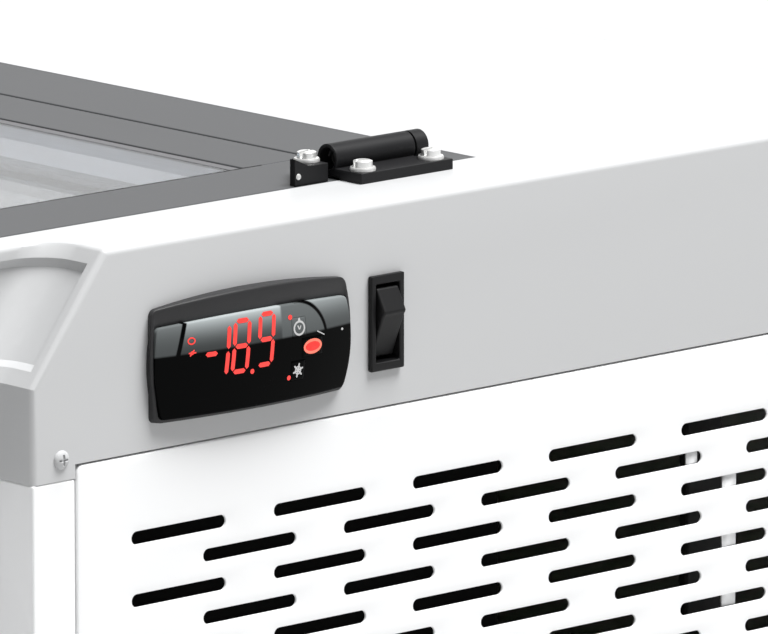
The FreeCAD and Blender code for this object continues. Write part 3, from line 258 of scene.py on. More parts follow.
def slotted_sheet():
    """Each slot is a ring of quads from its cell's outline to the slot's edge and back over the lip.

    A slot's outline is two half circles joined by straights. The cell's outline is where rays from
    the half circles' centres meet the cell's rectangle, so neighbouring cells share their corners.
    """
    low, high = (np.array(corner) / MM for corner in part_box("vent_panel"))
    face, lip, sheet = low[1], 0.25, 0.45
    border, bend, corner_radius, bands = 3, 0.8, 2.8, 8
    pitch, rise, half_cell, straight, end = 59.6, 10.05, 29.8, 17.5, 2.1
    half_rise = rise / 2
    corner = np.arctan2(half_rise, half_cell - straight)
    ray = np.sort(np.append(np.linspace(-pi / 2, pi / 2, 13), (-corner, corner)))
    reach = np.minimum((half_cell - straight) / np.maximum(np.cos(ray), 1e-9),
                       half_rise / np.maximum(np.abs(np.sin(ray)), 1e-9))
    right_end = np.column_stack([np.cos(ray), np.sin(ray)])
    circle = np.vstack([right_end, -right_end, right_end[:1]])
    centre = np.hstack([np.full(len(ray), straight), np.full(len(ray), -straight), straight])
    reach = np.hstack([reach, reach, reach[:1]])
    rows = [(reach, 0.0)]
    for turn in np.linspace(0, pi / 2, 5):
        rows.append((end + lip * (1 - sin(turn)), lip * (1 - cos(turn))))
    rows.append((end, sheet + lip))
    ring = np.stack([np.column_stack([centre + circle[:, 0] * radius,
                                      np.full(len(centre), face + depth),
                                      circle[:, 1] * radius]) for radius, depth in rows])
    grids = []
    first, top = 32.0, 766.8

    def plain(x0, x1, z0, z1):
        corners = np.array([[[x0, face, z0], [x1, face, z0]], [[x0, face, z1], [x1, face, z1]]])
        grids.append(corners)

    left_edge, right_edge = low[0] + border, high[0] - border
    for band in range(bands):
        z = top - rise * band
        shift, slots = (0, 6) if band % 2 == 0 else (pitch / 2, 5)
        for column in range(slots):
            grids.append(ring + (first + shift + pitch * column, 0, z))
        plain(left_edge, first + shift - half_cell, z - half_rise, z + half_rise)
        plain(first + shift + pitch * slots - half_cell, right_edge, z - half_rise, z + half_rise)
    plain(left_edge, right_edge, top + half_rise, high[2] - border)
    plain(left_edge, right_edge, low[2] + border, top - rise * (bands - 0.5))
    middle, half = (low + high) / 2, (high - low) / 2
    fold = [(bend * (1 - sin(turn)), bend * (1 - cos(turn))) for turn in np.linspace(0, pi / 2, 5)]
    rows = []
    for inset, depth in [(border, 0)] + fold + [(0, high[1] - face)]:
        loop = rounded_loop(half[0] - inset, half[2] - inset, max(corner_radius - inset, 0.001))
        rows.append(np.column_stack([middle[0] + loop[:, 0], np.full(len(loop), face + depth),
                                     middle[2] + loop[:, 1]]))
    grids.append(np.stack(rows))
    return surface("slotted_panel", grids, facing=(0, -1, 0))


fitted(slotted_sheet(), white_coat, "painted_steel", "cabinet", "vent_panel")


# Moulded collar round the top, with its leaning front end that carries the controls.
# Injection-moulded in grey plastic with a fine spark-etched texture; it drops over the walls
# and is held by one screw in each tab.

grey_moulding = coated("grey_collar_plastic", (0.50, 0.505, 0.51), 0.46, tone=0.02, cloud=4.0,
                       uneven=0.05, grain=1500, Specular_IOR_Level=0.35)
collar = rounded_skin("top_collar", 1.1, grey_moulding, "collar_plastic", segments=3, crease=18)
collar_left, collar_front, valley = -390.0, -276.0, 13.0


def leaning_end(height):
    """X of the end wall: it runs back by 30 mm over the 40 mm of height above its foot."""
    foot_x, foot_height, run, climb = -28, 820, 30, 40
    return foot_x + run * np.maximum(height - foot_height, 0) / climb


def draw_recess(mesh):
    """The recess floor is drawn out towards its foot, so that it leaves the mould.

    Depth is measured from the collar's outline: the front's plane, the leaning end's plane, or a
    circle in the valley between them. New depth = old depth times a share that rises with height.
    """
    points = np.empty(len(mesh.vertices) * 3)
    mesh.vertices.foreach_get("co", points)
    x, y, z = points.reshape(-1, 3).T / MM
    foot, head, deep = 826.0, 852.5, 4.5
    share_at_foot, share_gained, slack, valley_slack, end_limit = 0.4, 0.16, 0.1, 0.3, 30
    end = leaning_end(z)
    share = share_at_foot + share_gained * (z - foot) / (head - foot)
    floor = (z > foot - slack) & (z < head + slack)
    arm_x, arm_y = x - end + valley, y - collar_front + valley
    reach = np.hypot(arm_x, arm_y)
    in_valley = floor & (arm_x > 0) & (arm_y > 0) & (np.abs(reach - valley - deep) < valley_slack)
    on_front = floor & (arm_x <= 0) & (np.abs(y - collar_front - deep) < slack)
    on_end = floor & (arm_y <= 0) & (np.abs(x - end - deep) < slack) & (x < end_limit)
    on_side = floor & (np.abs(x - collar_left - deep) < slack) & ~on_front
    pull = deep * (1 - share)
    x = np.where(in_valley, x - pull * arm_x / reach, x)
    y = np.where(in_valley, y - pull * arm_y / reach, y)
    x = np.where(on_end | on_side, x - pull, x)
    y = np.where(on_front, y - pull, y)
    mesh.vertices.foreach_set("co", np.column_stack([x, y, z]).ravel() * MM)
    mesh.update()


draw_recess(collar.data)


def recess_feet():
    """The foot of the recess floor, which covers the foam: its depth rises a little with height.

    One run follows the left wall. The other follows the front and the first third of the valley,
    whose circle is widened by the depth.
    """
    turn, margin, far_stop = np.linspace(0, 0.56, 9), 14.0, 295.0
    left_run, front_run = [], []
    for height, deep in ((825.1, 1.8), (826.0, 1.86), (830.7, 1.9)):
        x = np.append(collar_left + margin,
                      leaning_end(height) - valley + (valley + deep) * np.sin(turn))
        y = collar_front + np.append(deep, (valley + deep) * np.cos(turn) - valley)
        front_run.append(np.column_stack([x, y, np.full(len(x), height)]))
        left_run.append([(collar_left + deep, stop, height) for stop in (collar_front + margin, far_stop)])
    return (surface("recess_foot_left", [np.array(left_run)], facing=(-1, 0, 0)),
            surface("recess_foot_front", [np.array(front_run)], facing=(0, -1, 0)))


for recess_foot in recess_feet():
    fitted(recess_foot, grey_moulding, "collar_plastic", "cabinet")


# Service deck over the machine bay.
# A loose moulded plate in the collar's plastic that lies flush with the rim and lifts off. Its
# outline grows a little all round, which leaves a hair line at the rim.

growth = 0.4
deck = rounded_skin("service_deck", 0.15, grey_moulding, "collar_plastic")
points = np.empty(len(deck.data.vertices) * 3)
deck.data.vertices.foreach_get("co", points)
points = points.reshape(-1, 3)
middle = (points.min(0) + points.max(0)) / 2
points[:, :2] += np.sign(points - middle)[:, :2] * growth * MM
deck.data.vertices.foreach_set("co", points.ravel())


# Inner ring of the well and the bands that the lid closes on.
# Grey extruded plastic, pressed over the foam; the ring keeps the cold liner away from the warm
# rim, and the bands lie flush with the lid at both of its ends.

rail_grey = coated("satin_grey_rail", (0.072, 0.074, 0.077), 0.50, tone=0.06, cloud=6.0, uneven=0.06,
                   grain=500, relief=0.006, Specular_IOR_Level=0.25)
rounded_skin("breaker_ring", 0.5, rail_grey, "ring_plastic")
rounded_skin("end_bands", 0.6, rail_grey, "ring_plastic")


# Lid frame: four mitred rails.
# Extruded grey plastic sections, cut to a mitre and welded at the corners.

for rail in ("lid_rail_near", "lid_rail_far", "lid_rail_left", "lid_rail_right"):
    rounded_skin(rail, 1.0, rail_grey, "rail_plastic")


# Double glazing of the lid with its spacer frame.
# Two tempered panes with ground edges, glued to a hollow aluminium spacer whose face shows
# through the glass as a grey band; a little rime sits on it in small grains.

def pane_finish(name, tint, roughness):
    """Clear glass that lets the lamps' shadow rays through, with a film of breath in its roughness."""
    finish = coated(name, tint, roughness, tone=0.02, cloud=5.0, uneven=0.02, grain=40, relief=0.002,
                    Transmission_Weight=1.0, IOR=1.03, Coat_Weight=0.35, Coat_Roughness=0.03)
    nodes, link = finish.node_tree.nodes, finish.node_tree.links.new
    clear, lamp, mixed = (nodes.new("ShaderNodeBsdfTransparent"), nodes.new("ShaderNodeLightPath"),
                          nodes.new("ShaderNodeMixShader"))
    clear.inputs["Color"].default_value = (*tint, 1)
    link(lamp.outputs["Is Shadow Ray"], mixed.inputs["Fac"])
    link(nodes["Principled BSDF"].outputs["BSDF"], mixed.inputs[1])
    link(clear.outputs["BSDF"], mixed.inputs[2])
    link(mixed.outputs["Shader"], nodes["Material Output"].inputs["Surface"])
    return finish


def rime_finish(name, colour, share, size):
    """Satin metal with grains of rime: round cells whose random tone stays below the share turn white."""
    finish = coated(name, colour, 0.42, tone=0.08, cloud=25.0, grain=700)
    nodes, link = finish.node_tree.nodes, finish.node_tree.links.new
    shader = nodes["Principled BSDF"]
    place, cells = nodes.new("ShaderNodeTexCoord"), nodes.new("ShaderNodeTexVoronoi")
    cells.inputs["Scale"].default_value = size
    link(place.outputs["Object"], cells.inputs["Vector"])
    near, chosen, both = (nodes.new("ShaderNodeMath") for _ in range(3))
    near.operation, chosen.operation, both.operation = "LESS_THAN", "LESS_THAN", "MULTIPLY"
    grain_radius = 0.22
    near.inputs[1].default_value = grain_radius
    chosen.inputs[1].default_value = share
    parts = nodes.new("ShaderNodeSeparateColor")
    link(cells.outputs["Distance"], near.inputs[0])
    link(cells.outputs["Color"], parts.inputs["Color"])
    link(parts.outputs[0], chosen.inputs[0])
    link(near.outputs[0], both.inputs[0])
    link(chosen.outputs[0], both.inputs[1])
    blend = nodes.new("ShaderNodeMix")
    blend.data_type = "RGBA"
    blend.inputs["B"].default_value = (0.92, 0.94, 0.96, 1)
    link(both.outputs[0], blend.inputs["Factor"])
    link(shader.inputs["Base Color"].links[0].from_socket, blend.inputs["A"])
    link(blend.outputs["Result"], shader.inputs["Base Color"])
    return finish


clear_glass = pane_finish("tempered_glass", (0.965, 0.975, 0.98), 0.02)
rounded_skin("lid_pane_upper", 0.4, clear_glass, "pane_glass")
rounded_skin("lid_pane_lower", 0.4, clear_glass, "pane_glass")
satin_spacer = rime_finish("spacer_with_rime", (0.42, 0.43, 0.44), 0.12, 330)
rounded_skin("lid_spacer", 0.3, satin_spacer, "spacer_aluminium")


def pane_seal():
    """A profile of distance in from the rails and height, carried round the lid's opening."""
    left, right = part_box("lid_rail_left")[1][0] / MM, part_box("lid_rail_right")[0][0] / MM
    near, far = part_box("lid_rail_near")[1][1] / MM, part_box("lid_rail_far")[0][1] / MM
    low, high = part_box("lid_pane_lower")[0][2] / MM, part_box("lid_pane_upper")[1][2] / MM
    corner = np.array([(left, near), (right, near), (right, far), (left, far), (left, near)])
    inward = np.array([(1, 1), (-1, 1), (-1, -1), (1, -1), (1, 1)])
    bead = [(0, high + 0.5), (1.2, high + 0.35), (2.3, high + 0.02), (2.4, high - 0.3), (2.4, high - 1.2)]
    wall = [(2.4, high - 1.2), (2.4, low + 0.2)]
    return [surface(name, [np.stack([np.column_stack([corner + inward * inset, np.full(5, height)])
                                     for inset, height in profile])], facing=(0, 0, 1), sharp=30)
            for name, profile in (("pane_edge_seal", bead), ("spacer_face_strip", wall))]


spacer_face = rime_finish("spacer_face_with_rime", (0.36, 0.365, 0.38), 0.14, 330)
seal_grey = coated("pane_seal_grey", (0.15, 0.15, 0.155), 0.6, tone=0.1, cloud=30.0,
                   Specular_IOR_Level=0.2)
seal, face_strip = pane_seal()
fitted(seal, seal_grey, "seal_rubber", "lid")
fitted(face_strip, spacer_face, "spacer_aluminium", "lid")


# Lid gasket.
# A soft grey rubber bellows in a groove under the rails, pressed flat where the lid rests on it.

gasket_rubber = coated("grey_gasket_rubber", (0.16, 0.16, 0.165), 0.62, tone=0.10, cloud=30.0,
                       grain=1100, relief=0.02)
rounded_skin("lid_gasket", 1.2, gasket_rubber, "seal_rubber")


# Lid handle.
# One arched plastic grip with two feet, screwed to the far rail from underneath.

handle_black = coated("handle_plastic", (0.03, 0.03, 0.032), 0.40, tone=0.12, cloud=20.0, grain=1300,
                      relief=0.015)
rounded_skin("lid_handle", 2.2, handle_black, "handle_plastic", segments=4)


# Two hinges: plate and barrel on the rim, bracket on the lid, a pin and a closing spring.
# Cast zinc, tumbled until its edges are soft and painted satin black; the pins and springs are
# dark phosphated steel.

hinge_paint = coated("satin_black_casting", (0.011, 0.011, 0.012), 0.50, tone=0.25, cloud=60.0,
                     uneven=0.12, grain=1400, relief=0.03, Specular_IOR_Level=0.22)
bare_steel = coated("bright_zinc_steel", (0.80, 0.80, 0.79), 0.30, tone=0.10, cloud=180.0,
                    uneven=0.14, grain=1600, relief=0.008, Metallic=0.55)
rounded_skin("hinge_bases", 0.7, hinge_paint, "hinge_black", segments=3)
rounded_skin("hinge_brackets", 0.7, hinge_paint, "hinge_black", segments=3)
pin_steel = coated("phosphated_steel", (0.02, 0.02, 0.021), 0.5, tone=0.2, cloud=120.0)
rounded_skin("hinge_pins", 0.4, pin_steel, "screw_steel")


def solids_of(node):
    """Lowest and highest corner, in mm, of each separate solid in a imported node, in order of X, Y, Z."""
    shape = bmesh.new()
    shape.from_mesh(frame["nodes"][node].data)
    bmesh.ops.remove_doubles(shape, verts=shape.verts, dist=same_point)
    waiting, boxes = set(shape.verts), []
    while waiting:
        reached = [waiting.pop()]
        for vert in reached:
            beside = {edge.other_vert(vert) for edge in vert.link_edges} & waiting
            waiting -= beside
            reached.extend(beside)
        points = np.array([vert.co for vert in reached]) / MM
        boxes.append((points.min(0), points.max(0)))
    shape.free()
    return sorted(boxes, key=lambda box: tuple(box[0]))


def wound_wire(low, high, turns, wire):
    """Closing spring: a circle of wire carried round a helix along X."""
    middle, half = (low + high) / 2, (high - low) / 2
    coil = half[2] - wire
    along = np.linspace(0, 1, int(turns * 24))[:, None]
    round_wire = np.linspace(0, 2 * pi, 11)[None]
    spin = along * turns * 2 * pi
    reach = coil + wire * np.cos(round_wire)
    return np.stack([low[0] + wire + along * (high[0] - low[0] - 2 * wire) + wire * np.sin(round_wire),
                     middle[1] + reach * np.cos(spin), middle[2] + reach * np.sin(spin)], axis=-1)


springs = [wound_wire(low, high, 13, 0.5) for low, high in solids_of("hinge_springs")]
fitted(surface("hinge_coils", springs), pin_steel, "screw_steel", "cabinet", "hinge_springs")


# Screw and bolt heads.
# Zinc-plated slotted bolts with a pressed flange hold the hinges; cross-head screws hold the
# collar's tabs and the service panel and are painted over with their surroundings.

def driven_head(low, high, slotted, spin):
    """Head on a polar grid, standing along its box's shortest side.

    Slotted: a drum on a flange, less one groove right across the drum. Cross recess: a dome whose
    height falls with the square of the radius, less two crossed grooves that fade out at its edge.
    """
    middle, half = (low + high) / 2, (high - low) / 2
    upright = np.argmin(half) == 2
    along = np.array([0, 0, 1.0] if upright else [0, -1.0, 0])
    across, third = np.array([1.0, 0, 0]), np.array([0, 1.0, 0] if upright else [0, 0, 1.0])
    tall, wide = 2 * half.min(), half.max()
    foot = middle - along * tall / 2
    share = np.array([0, 0.05, 0.1, 0.14, 0.18, 0.22, 0.28, 0.34, 0.4, 0.47, 0.54, 0.6, 0.66, 0.7, 0.73,
                      0.745, 0.75, 0.77, 0.86, 0.95, 0.99, 1.0, 1.0])[:, None]
    turn = np.linspace(0, 2 * pi, 73)[None]
    x, y = share * np.cos(turn), share * np.sin(turn)
    a, b = x * cos(spin) + y * sin(spin), y * cos(spin) - x * sin(spin)
    drum, groove, cross, blur = 0.748, 0.13, 0.11, 0.03
    if slotted:
        height = np.where(share < drum, 1 - 0.12 * (share / drum) ** 6, 0.34 - 0.08 * (share - 0.75))
        height = height - 0.12 * np.clip((share - 0.95) / 0.05, 0, 1)
        cut = np.clip((groove - np.abs(b)) / blur + 0.5, 0, 1) * (share < 0.76)
        height = np.maximum(height - 0.5 * cut, 0.3 * (share < 0.96))
    else:
        dome = np.sqrt(np.clip(1 - share ** 2 * 0.97, 0, 1))
        height = dome + 0 * turn
        for here, there in ((a, b), (b, a)):
            cut = np.clip((cross - np.abs(here)) / blur + 0.5, 0, 1)
            height = np.minimum(height, dome - 0.45 * cut * np.clip((0.6 - np.abs(there)) / 0.08, 0, 1))
    height = np.where(np.arange(len(share))[:, None] == len(share) - 1, 0, height)
    return (foot + x[..., None] * across * wide + y[..., None] * third * wide
            + height[..., None] * along * tall)


def heads(name, node, slotted, finish, slot, body):
    """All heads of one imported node, each turned a little differently as screws are left.

    A tall slotted head gets a wider flange and a higher drum.
    """
    grids, tall, wider, higher = [], 2.2, 1.1, 0.7
    for order, (low, high) in enumerate(solids_of(node)):
        if slotted and high[2] - low[2] > tall:
            low, high = low - (wider, wider, 0), high + (wider, wider, higher)
        grids.append(driven_head(low, high, slotted, 0.25 * sin(2.4 * order)))
    return fitted(surface(name, grids, sharp=50), finish, slot, body, node)


heads("rim_bolts", "hinge_bolts", True, bare_steel, "screw_steel", "cabinet")
heads("bracket_bolt_heads", "bracket_bolts", True, bare_steel, "screw_steel", "lid")
painted_screw = coated("painted_screw", (0.48, 0.485, 0.49), 0.5, tone=0.10, cloud=200.0, grain=1500,
                       Specular_IOR_Level=0.2)
heads("cross_head_screws", "body_screws", False, painted_screw, "painted_steel", "cabinet")


# Digital controller: case, arched bezel and curved front window.
# The case snaps into the collar from outside. Bezel in dark grey moulded plastic; the window is
# one smoked acrylic moulding, printed on the back, with a clear zone over the display. Its colour
# grows lighter towards the top: a painted reflection of the light above.

smoke_black = coated("controller_black_plastic", (0.012, 0.012, 0.013), 0.5, tone=0.1, cloud=30.0,
                     grain=1200)
bezel_grey = coated("controller_bezel_grey", (0.022, 0.022, 0.023), 0.42, tone=0.08, cloud=30.0,
                    grain=1500, relief=0.012, Specular_IOR_Level=0.3)
rounded_skin("controller_case", 0.8, smoke_black, "black_plastic")


bezel_low, bezel_high = (np.array(corner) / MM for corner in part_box("controller_bezel"))
lens_low, lens_high = (np.array(corner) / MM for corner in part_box("controller_lens"))
crown, lens_crown, bow, bulge, swell, taper = 2.7, 1.4, 3.8, 1.6, 2.3, 1.4
bezel_middle = ((bezel_low + bezel_high) / 2 - (0, 0, crown / 2))[[0, 2]]
bezel_half = ((bezel_high - bezel_low) / 2 - (0, 0, crown / 2))[[0, 2]]
lens_middle = ((lens_low + lens_high) / 2 - (0, 0, lens_crown / 2))[[0, 2]]
lens_half = ((lens_high - lens_low) / 2 - (0, 0, lens_crown / 2))[[0, 2]]
lens_up = lens_middle[1] - bezel_middle[1]


def arched_front(u, v, deepest):
    """Y over the plan: the deepest line, less two squares of the distance along X and up Z."""
    return deepest + bow * (u / bezel_half[0]) ** 2 + bulge * (v / bezel_half[1]) ** 2


def arched(u, v, half, rise, share, deepest):
    """Points of an arched plate from u and v about the bezel's middle.

    The top rises by the crown less a square of u. The sides swell by a square of v and taper to the
    foot, in step with the share of the way from the collar's face to the front.
    """
    level = v / half[1]
    side = share * (swell * (1 - level ** 2) - taper * (1 - level) / 2)
    across = u * (1 + side / half[0])
    up = v + rise * (1 - (u / half[0]) ** 2) * (1 + level) / 2
    wall = -301.0
    return across, wall + share * (arched_front(across, up, deepest) - wall), up


def arched_bezel():
    """Rows from the collar's face over a rounded lip and inwards to the edge of the window."""
    lip = [(0.9 * (1 - cos(turn)), 0.9 + 0.1 * sin(turn)) for turn in np.linspace(0, pi / 2, 6)]
    rows = []
    for inset, share in [(0.0, 0.0), (0.0, 0.45)] + lip:
        loop = rounded_loop(bezel_half[0] - inset, bezel_half[1] - inset, max(2.0 - inset, 0.3))
        rows.append(np.column_stack(arched(*loop.T, bezel_half, crown, share, bezel_low[1])))
    gap, front_edge = 0.15, rows[-1]
    inner = rounded_loop(lens_half[0] + gap, lens_half[1] + gap, 1.6)
    x, y, z = arched(*inner.T, lens_half, lens_crown, 1.0, bezel_low[1])
    inner = np.column_stack([x, y, z + lens_up])
    for share, depth in ((0.3, 0.0), (0.7, 0.15), (1.0, 0.8), (1.0, 3.5)):
        row = front_edge * (1 - share) + inner * share
        rows.append(row + (0, depth, 0))
    return surface("arched_bezel", [np.stack(rows) + (bezel_middle[0], 0, bezel_middle[1])],
                   facing=(0, -1, 0), sharp=50)


fitted(arched_bezel(), bezel_grey, "bezel_plastic", "cabinet", "controller_bezel")


def window_finish():
    """Smoked acrylic in zones: u runs along X and v up Z in mm from the window's middle.

    Below v = 3.4 it is black. Above, the tone rises with v: a painted reflection of the light above.
    A slanted black line parts off the left zone, and a black arc, a circle of radius 13.6, bounds the
    darker field round the push buttons.
    """
    finish = bpy.data.materials.new("smoked_window_acrylic_painted_reflection")
    finish.use_nodes = True
    nodes, link = finish.node_tree.nodes, finish.node_tree.links.new
    shader = nodes["Principled BSDF"]

    def reckon(operation, a, b=None, c=None):
        step = nodes.new("ShaderNodeMath")
        step.operation = operation
        for socket, value in zip(step.inputs, (a, b, c)):
            if isinstance(value, (int, float)):
                socket.default_value = value
            elif value is not None:
                link(value, socket)
        return step.outputs[0]

    def ramp(value, low, high):
        """0 below low, 1 above high, straight between."""
        step = nodes.new("ShaderNodeMapRange")
        step.inputs["From Min"].default_value = low
        step.inputs["From Max"].default_value = high
        link(value, step.inputs["Value"])
        return step.outputs["Result"]

    place, axes = nodes.new("ShaderNodeTexCoord"), nodes.new("ShaderNodeSeparateXYZ")
    link(place.outputs["Object"], axes.inputs[0])
    u = reckon("MULTIPLY_ADD", axes.outputs["X"], 1000.0, -float(bezel_middle[0]))
    v = reckon("MULTIPLY_ADD", axes.outputs["Z"], 1000.0, -float(bezel_middle[1]))
    slanted = reckon("MULTIPLY_ADD", v, -0.33, u)
    # These ramps lighten every zone towards the top of the window: a painted reflection of the light above.
    rise = ramp(v, 3.0, 14.6)
    painted_reflection_ramp = reckon("POWER", rise, 2.4)
    upper = ramp(v, 3.2, 3.9)
    arc_u, arc_v = 15.3, 0.6
    arm = reckon("SUBTRACT", u, arc_u)
    lift = reckon("SUBTRACT", v, arc_v)
    ring = reckon("SQRT", reckon("ADD", reckon("MULTIPLY", arm, arm), reckon("MULTIPLY", lift, lift)))
    inside = ramp(ring, 13.2, 12.8)
    outside = ramp(ring, 14.0, 14.5)
    left_zone = ramp(slanted, -34.5, -34.9)
    window = reckon("MULTIPLY", ramp(slanted, -33.2, -32.8), ramp(u, 9.2, 8.4))
    near_arc = reckon("MAXIMUM", inside, ramp(u, 15.5, 15.0))
    dark_field = reckon("MULTIPLY", reckon("MULTIPLY", ramp(u, 8.4, 9.2), near_arc), 0.19)
    right_zone = reckon("MULTIPLY", ramp(u, 15.0, 15.5), outside)
    bright = 0.0
    # Each zone's colour is its base plus a painted reflection that grows with height.
    for zone, way, gain, base in ((window, painted_reflection_ramp, 0.48, 0.045), (right_zone, painted_reflection_ramp, 0.30, 0.07),
                                  (left_zone, painted_reflection_ramp, 0.13, 0.07), (dark_field, rise, 0.25, 0.45)):
        bright = reckon("ADD", bright, reckon("MULTIPLY", zone, reckon("MULTIPLY_ADD", way, gain, base)))
    tone = reckon("MULTIPLY_ADD", reckon("MULTIPLY", bright, upper), 1.0, 0.0015)
    tint = nodes.new("ShaderNodeCombineColor")
    link(reckon("MULTIPLY", tone, 0.92), tint.inputs[0])
    link(tone, tint.inputs[1])
    link(reckon("MULTIPLY", tone, 1.01), tint.inputs[2])
    link(tint.outputs["Color"], shader.inputs["Base Color"])
    smear = nodes.new("ShaderNodeTexNoise")
    smear.inputs["Scale"].default_value = 60
    smear.inputs["Detail"].default_value = 5
    link(place.outputs["Object"], smear.inputs["Vector"])
    link(reckon("MULTIPLY_ADD", smear.outputs["Fac"], 0.05, 0.05), shader.inputs["Roughness"])
    shader.inputs["Specular IOR Level"].default_value = 0.03
    return finish


smoked_acrylic_painted_reflection = window_finish()
caps = {"key_set": (22.2, -0.9, 4.7, 3.0), "key_down": (15.5, -7.7, 3.1, 3.1),
        "key_up": (16.3, 6.0, 3.1, 3.1)}


def flat_place(u, v):
    """Place on the uncurved plate of a point seen at u and v about the bezel's middle."""
    across, _, up = arched(u, v - lens_up, lens_half, lens_crown, 1.0, lens_low[1])
    return u * 2 - across, (v - lens_up) * 2 - up


def window_points(u, v, lift=0.0):
    """The window's curved front over the uncurved plate, lifted towards the front."""
    across, depth, up = arched(u, v, lens_half, lens_crown, 1.0, lens_low[1])
    return np.stack([bezel_middle[0] + across, depth - lift, lens_middle[1] + up], axis=-1)


def edge_of(patch):
    """The outline of a grid of points as one closed row."""
    return np.vstack([patch[0, :-1], patch[:-1, -1], patch[-1, :0:-1], patch[::-1, 0]])


def front_window():
    """A grid over the plate, split at the keys' outlines, less the keys' cells.

    In each corner the square cell is drawn onto a quarter disc: each coordinate times the root of
    1 less half the square of the other.
    """
    hem, corner, hair = 0.35, 1.4, 1e-7
    half = lens_half - hem
    splits, holes = [{-half[0], half[0]}, {-half[1], half[1]}], []
    for u, v, wide, high in caps.values():
        u, v = flat_place(u, v)
        holes.append((u - wide, u + wide, v - high, v + high))
        splits[0] |= {u - wide, u + wide}
        splits[1] |= {v - high, v + high}
    lines = []
    for axis, reach in enumerate(half):
        bend = reach - corner + corner * np.array([0, 0.3, 0.6, 0.85])
        lines.append(np.unique(np.round(np.concatenate([np.linspace(-reach, reach, 41 if axis == 0 else 17),
                                                        bend, -bend, sorted(splits[axis])]), 6)))
    u, v = np.meshgrid(*lines)
    a, b = (np.clip((np.abs(part) - reach + corner) / corner, 0, 1)
            for part, reach in ((u, half[0]), (v, half[1])))
    u, v = (np.sign(u) * (np.minimum(np.abs(u), half[0] - corner) + corner * a * np.sqrt(1 - b ** 2 / 2)),
            np.sign(v) * (np.minimum(np.abs(v), half[1] - corner) + corner * b * np.sqrt(1 - a ** 2 / 2)))
    points = window_points(u, v)
    marks = [np.searchsorted(line, np.round(sorted(split), 6) - hair) for line, split in zip(lines, splits)]
    grids = []
    for left, right in zip(marks[0][:-1], marks[0][1:]):
        for low, high in zip(marks[1][:-1], marks[1][1:]):
            middle_u = (lines[0][left] + lines[0][right]) / 2
            middle_v = (lines[1][low] + lines[1][high]) / 2
            patch = points[low:high + 1, left:right + 1]
            if not any(h[0] < middle_u < h[1] and h[2] < middle_v < h[3] for h in holes):
                grids.append(patch)
    for hole in holes:
        left, right = np.searchsorted(lines[0], np.round(hole[:2], 6) - hair)
        low, high = np.searchsorted(lines[1], np.round(hole[2:], 6) - hair)
        rim = edge_of(points[low:high + 1, left:right + 1])
        grids.append(np.stack([rim, rim + (0, 2.2, 0)]))
    flat_rim = edge_of(np.stack([u, v], axis=-1))
    outer = window_points(*(flat_rim * (1 + hem / half)).T)
    grids.append(np.stack([edge_of(points)] + [outer + (0, back, 0) for back in (0.12, 0.5, 3.5)]))
    return surface("front_window", grids, facing=(0, -1, 0), sharp=50)


fitted(front_window(), smoked_acrylic_painted_reflection, "black_plastic", "cabinet", "controller_lens")


# Lit digits, pilot lights and symbols behind the window.
# Red light-emitting segments and small back-lit symbols, seen as thin bright shapes just under
# the acrylic; here they lie a few hundredths of a millimetre over the window's curve.

def lit(name, colour, strength):
    """A glowing finish with a faint mottle; unlit it has a quarter of its tone."""
    finish = coated(name, [part / 4 for part in colour], 0.4, tone=0.1, cloud=400.0, relief=0.0)
    nodes, link = finish.node_tree.nodes, finish.node_tree.links.new
    place, noise, mixed = (nodes.new("ShaderNodeTexCoord"), nodes.new("ShaderNodeTexNoise"),
                           nodes.new("ShaderNodeMix"))
    noise.inputs["Scale"].default_value = 700
    link(place.outputs["Object"], noise.inputs["Vector"])
    mixed.data_type = "RGBA"
    mixed.inputs["A"].default_value = (*colour, 1)
    mixed.inputs["B"].default_value = (*(min(1, part * 1.5 + 0.02) for part in colour), 1)
    link(noise.outputs["Fac"], mixed.inputs["Factor"])
    link(mixed.outputs["Result"], nodes["Principled BSDF"].inputs["Emission Color"])
    nodes["Principled BSDF"].inputs["Emission Strength"].default_value = strength
    return finish


def on_window(u, v, lift=0.07):
    """Points at u along and v up from the bezel's middle, just over the window's curve."""
    depth = arched_front(u, v - lens_up, lens_low[1]) - lift
    return np.stack([bezel_middle[0] + u, depth, bezel_middle[1] + v], axis=-1)


def bar(start, end, wide, lift=0.07):
    """A lit bar with pointed ends: its width opens over the first and last part of its length."""
    start, end = np.array(start, float), np.array(end, float)
    length = np.linalg.norm(end - start)
    along = np.array([0, wide / 2 / length, 0.5, 1 - wide / 2 / length, 1])
    open_to = np.array([0, 1, 1, 1, 0])
    side = np.array([-(end - start)[1], (end - start)[0]]) / length * wide / 2
    line = start + along[:, None] * (end - start)
    across = np.array([-1.0, 0, 1])[:, None, None] * open_to[None, :, None] * side
    flat = line[None] + across
    return on_window(flat[..., 0], flat[..., 1], lift)


def hoop(u, v, wide, high, line, lift=0.07):
    """An oval ring: its radius runs from the outer edge to the outer edge less the line."""
    turn = np.linspace(0, 2 * pi, 33)[None]
    part = np.array([0.0, 1.0])[:, None]
    return on_window(u + (wide - line * part) * np.cos(turn), v + (high - line * part) * np.sin(turn), lift)


def lit_sheet(name, shapes, light, body="cabinet"):
    """Lit shapes as one open sheet that faces out of the window and moves with its body."""
    fitted(surface(name, shapes, facing=(0, -1, 0)), light, "bezel_plastic", body)


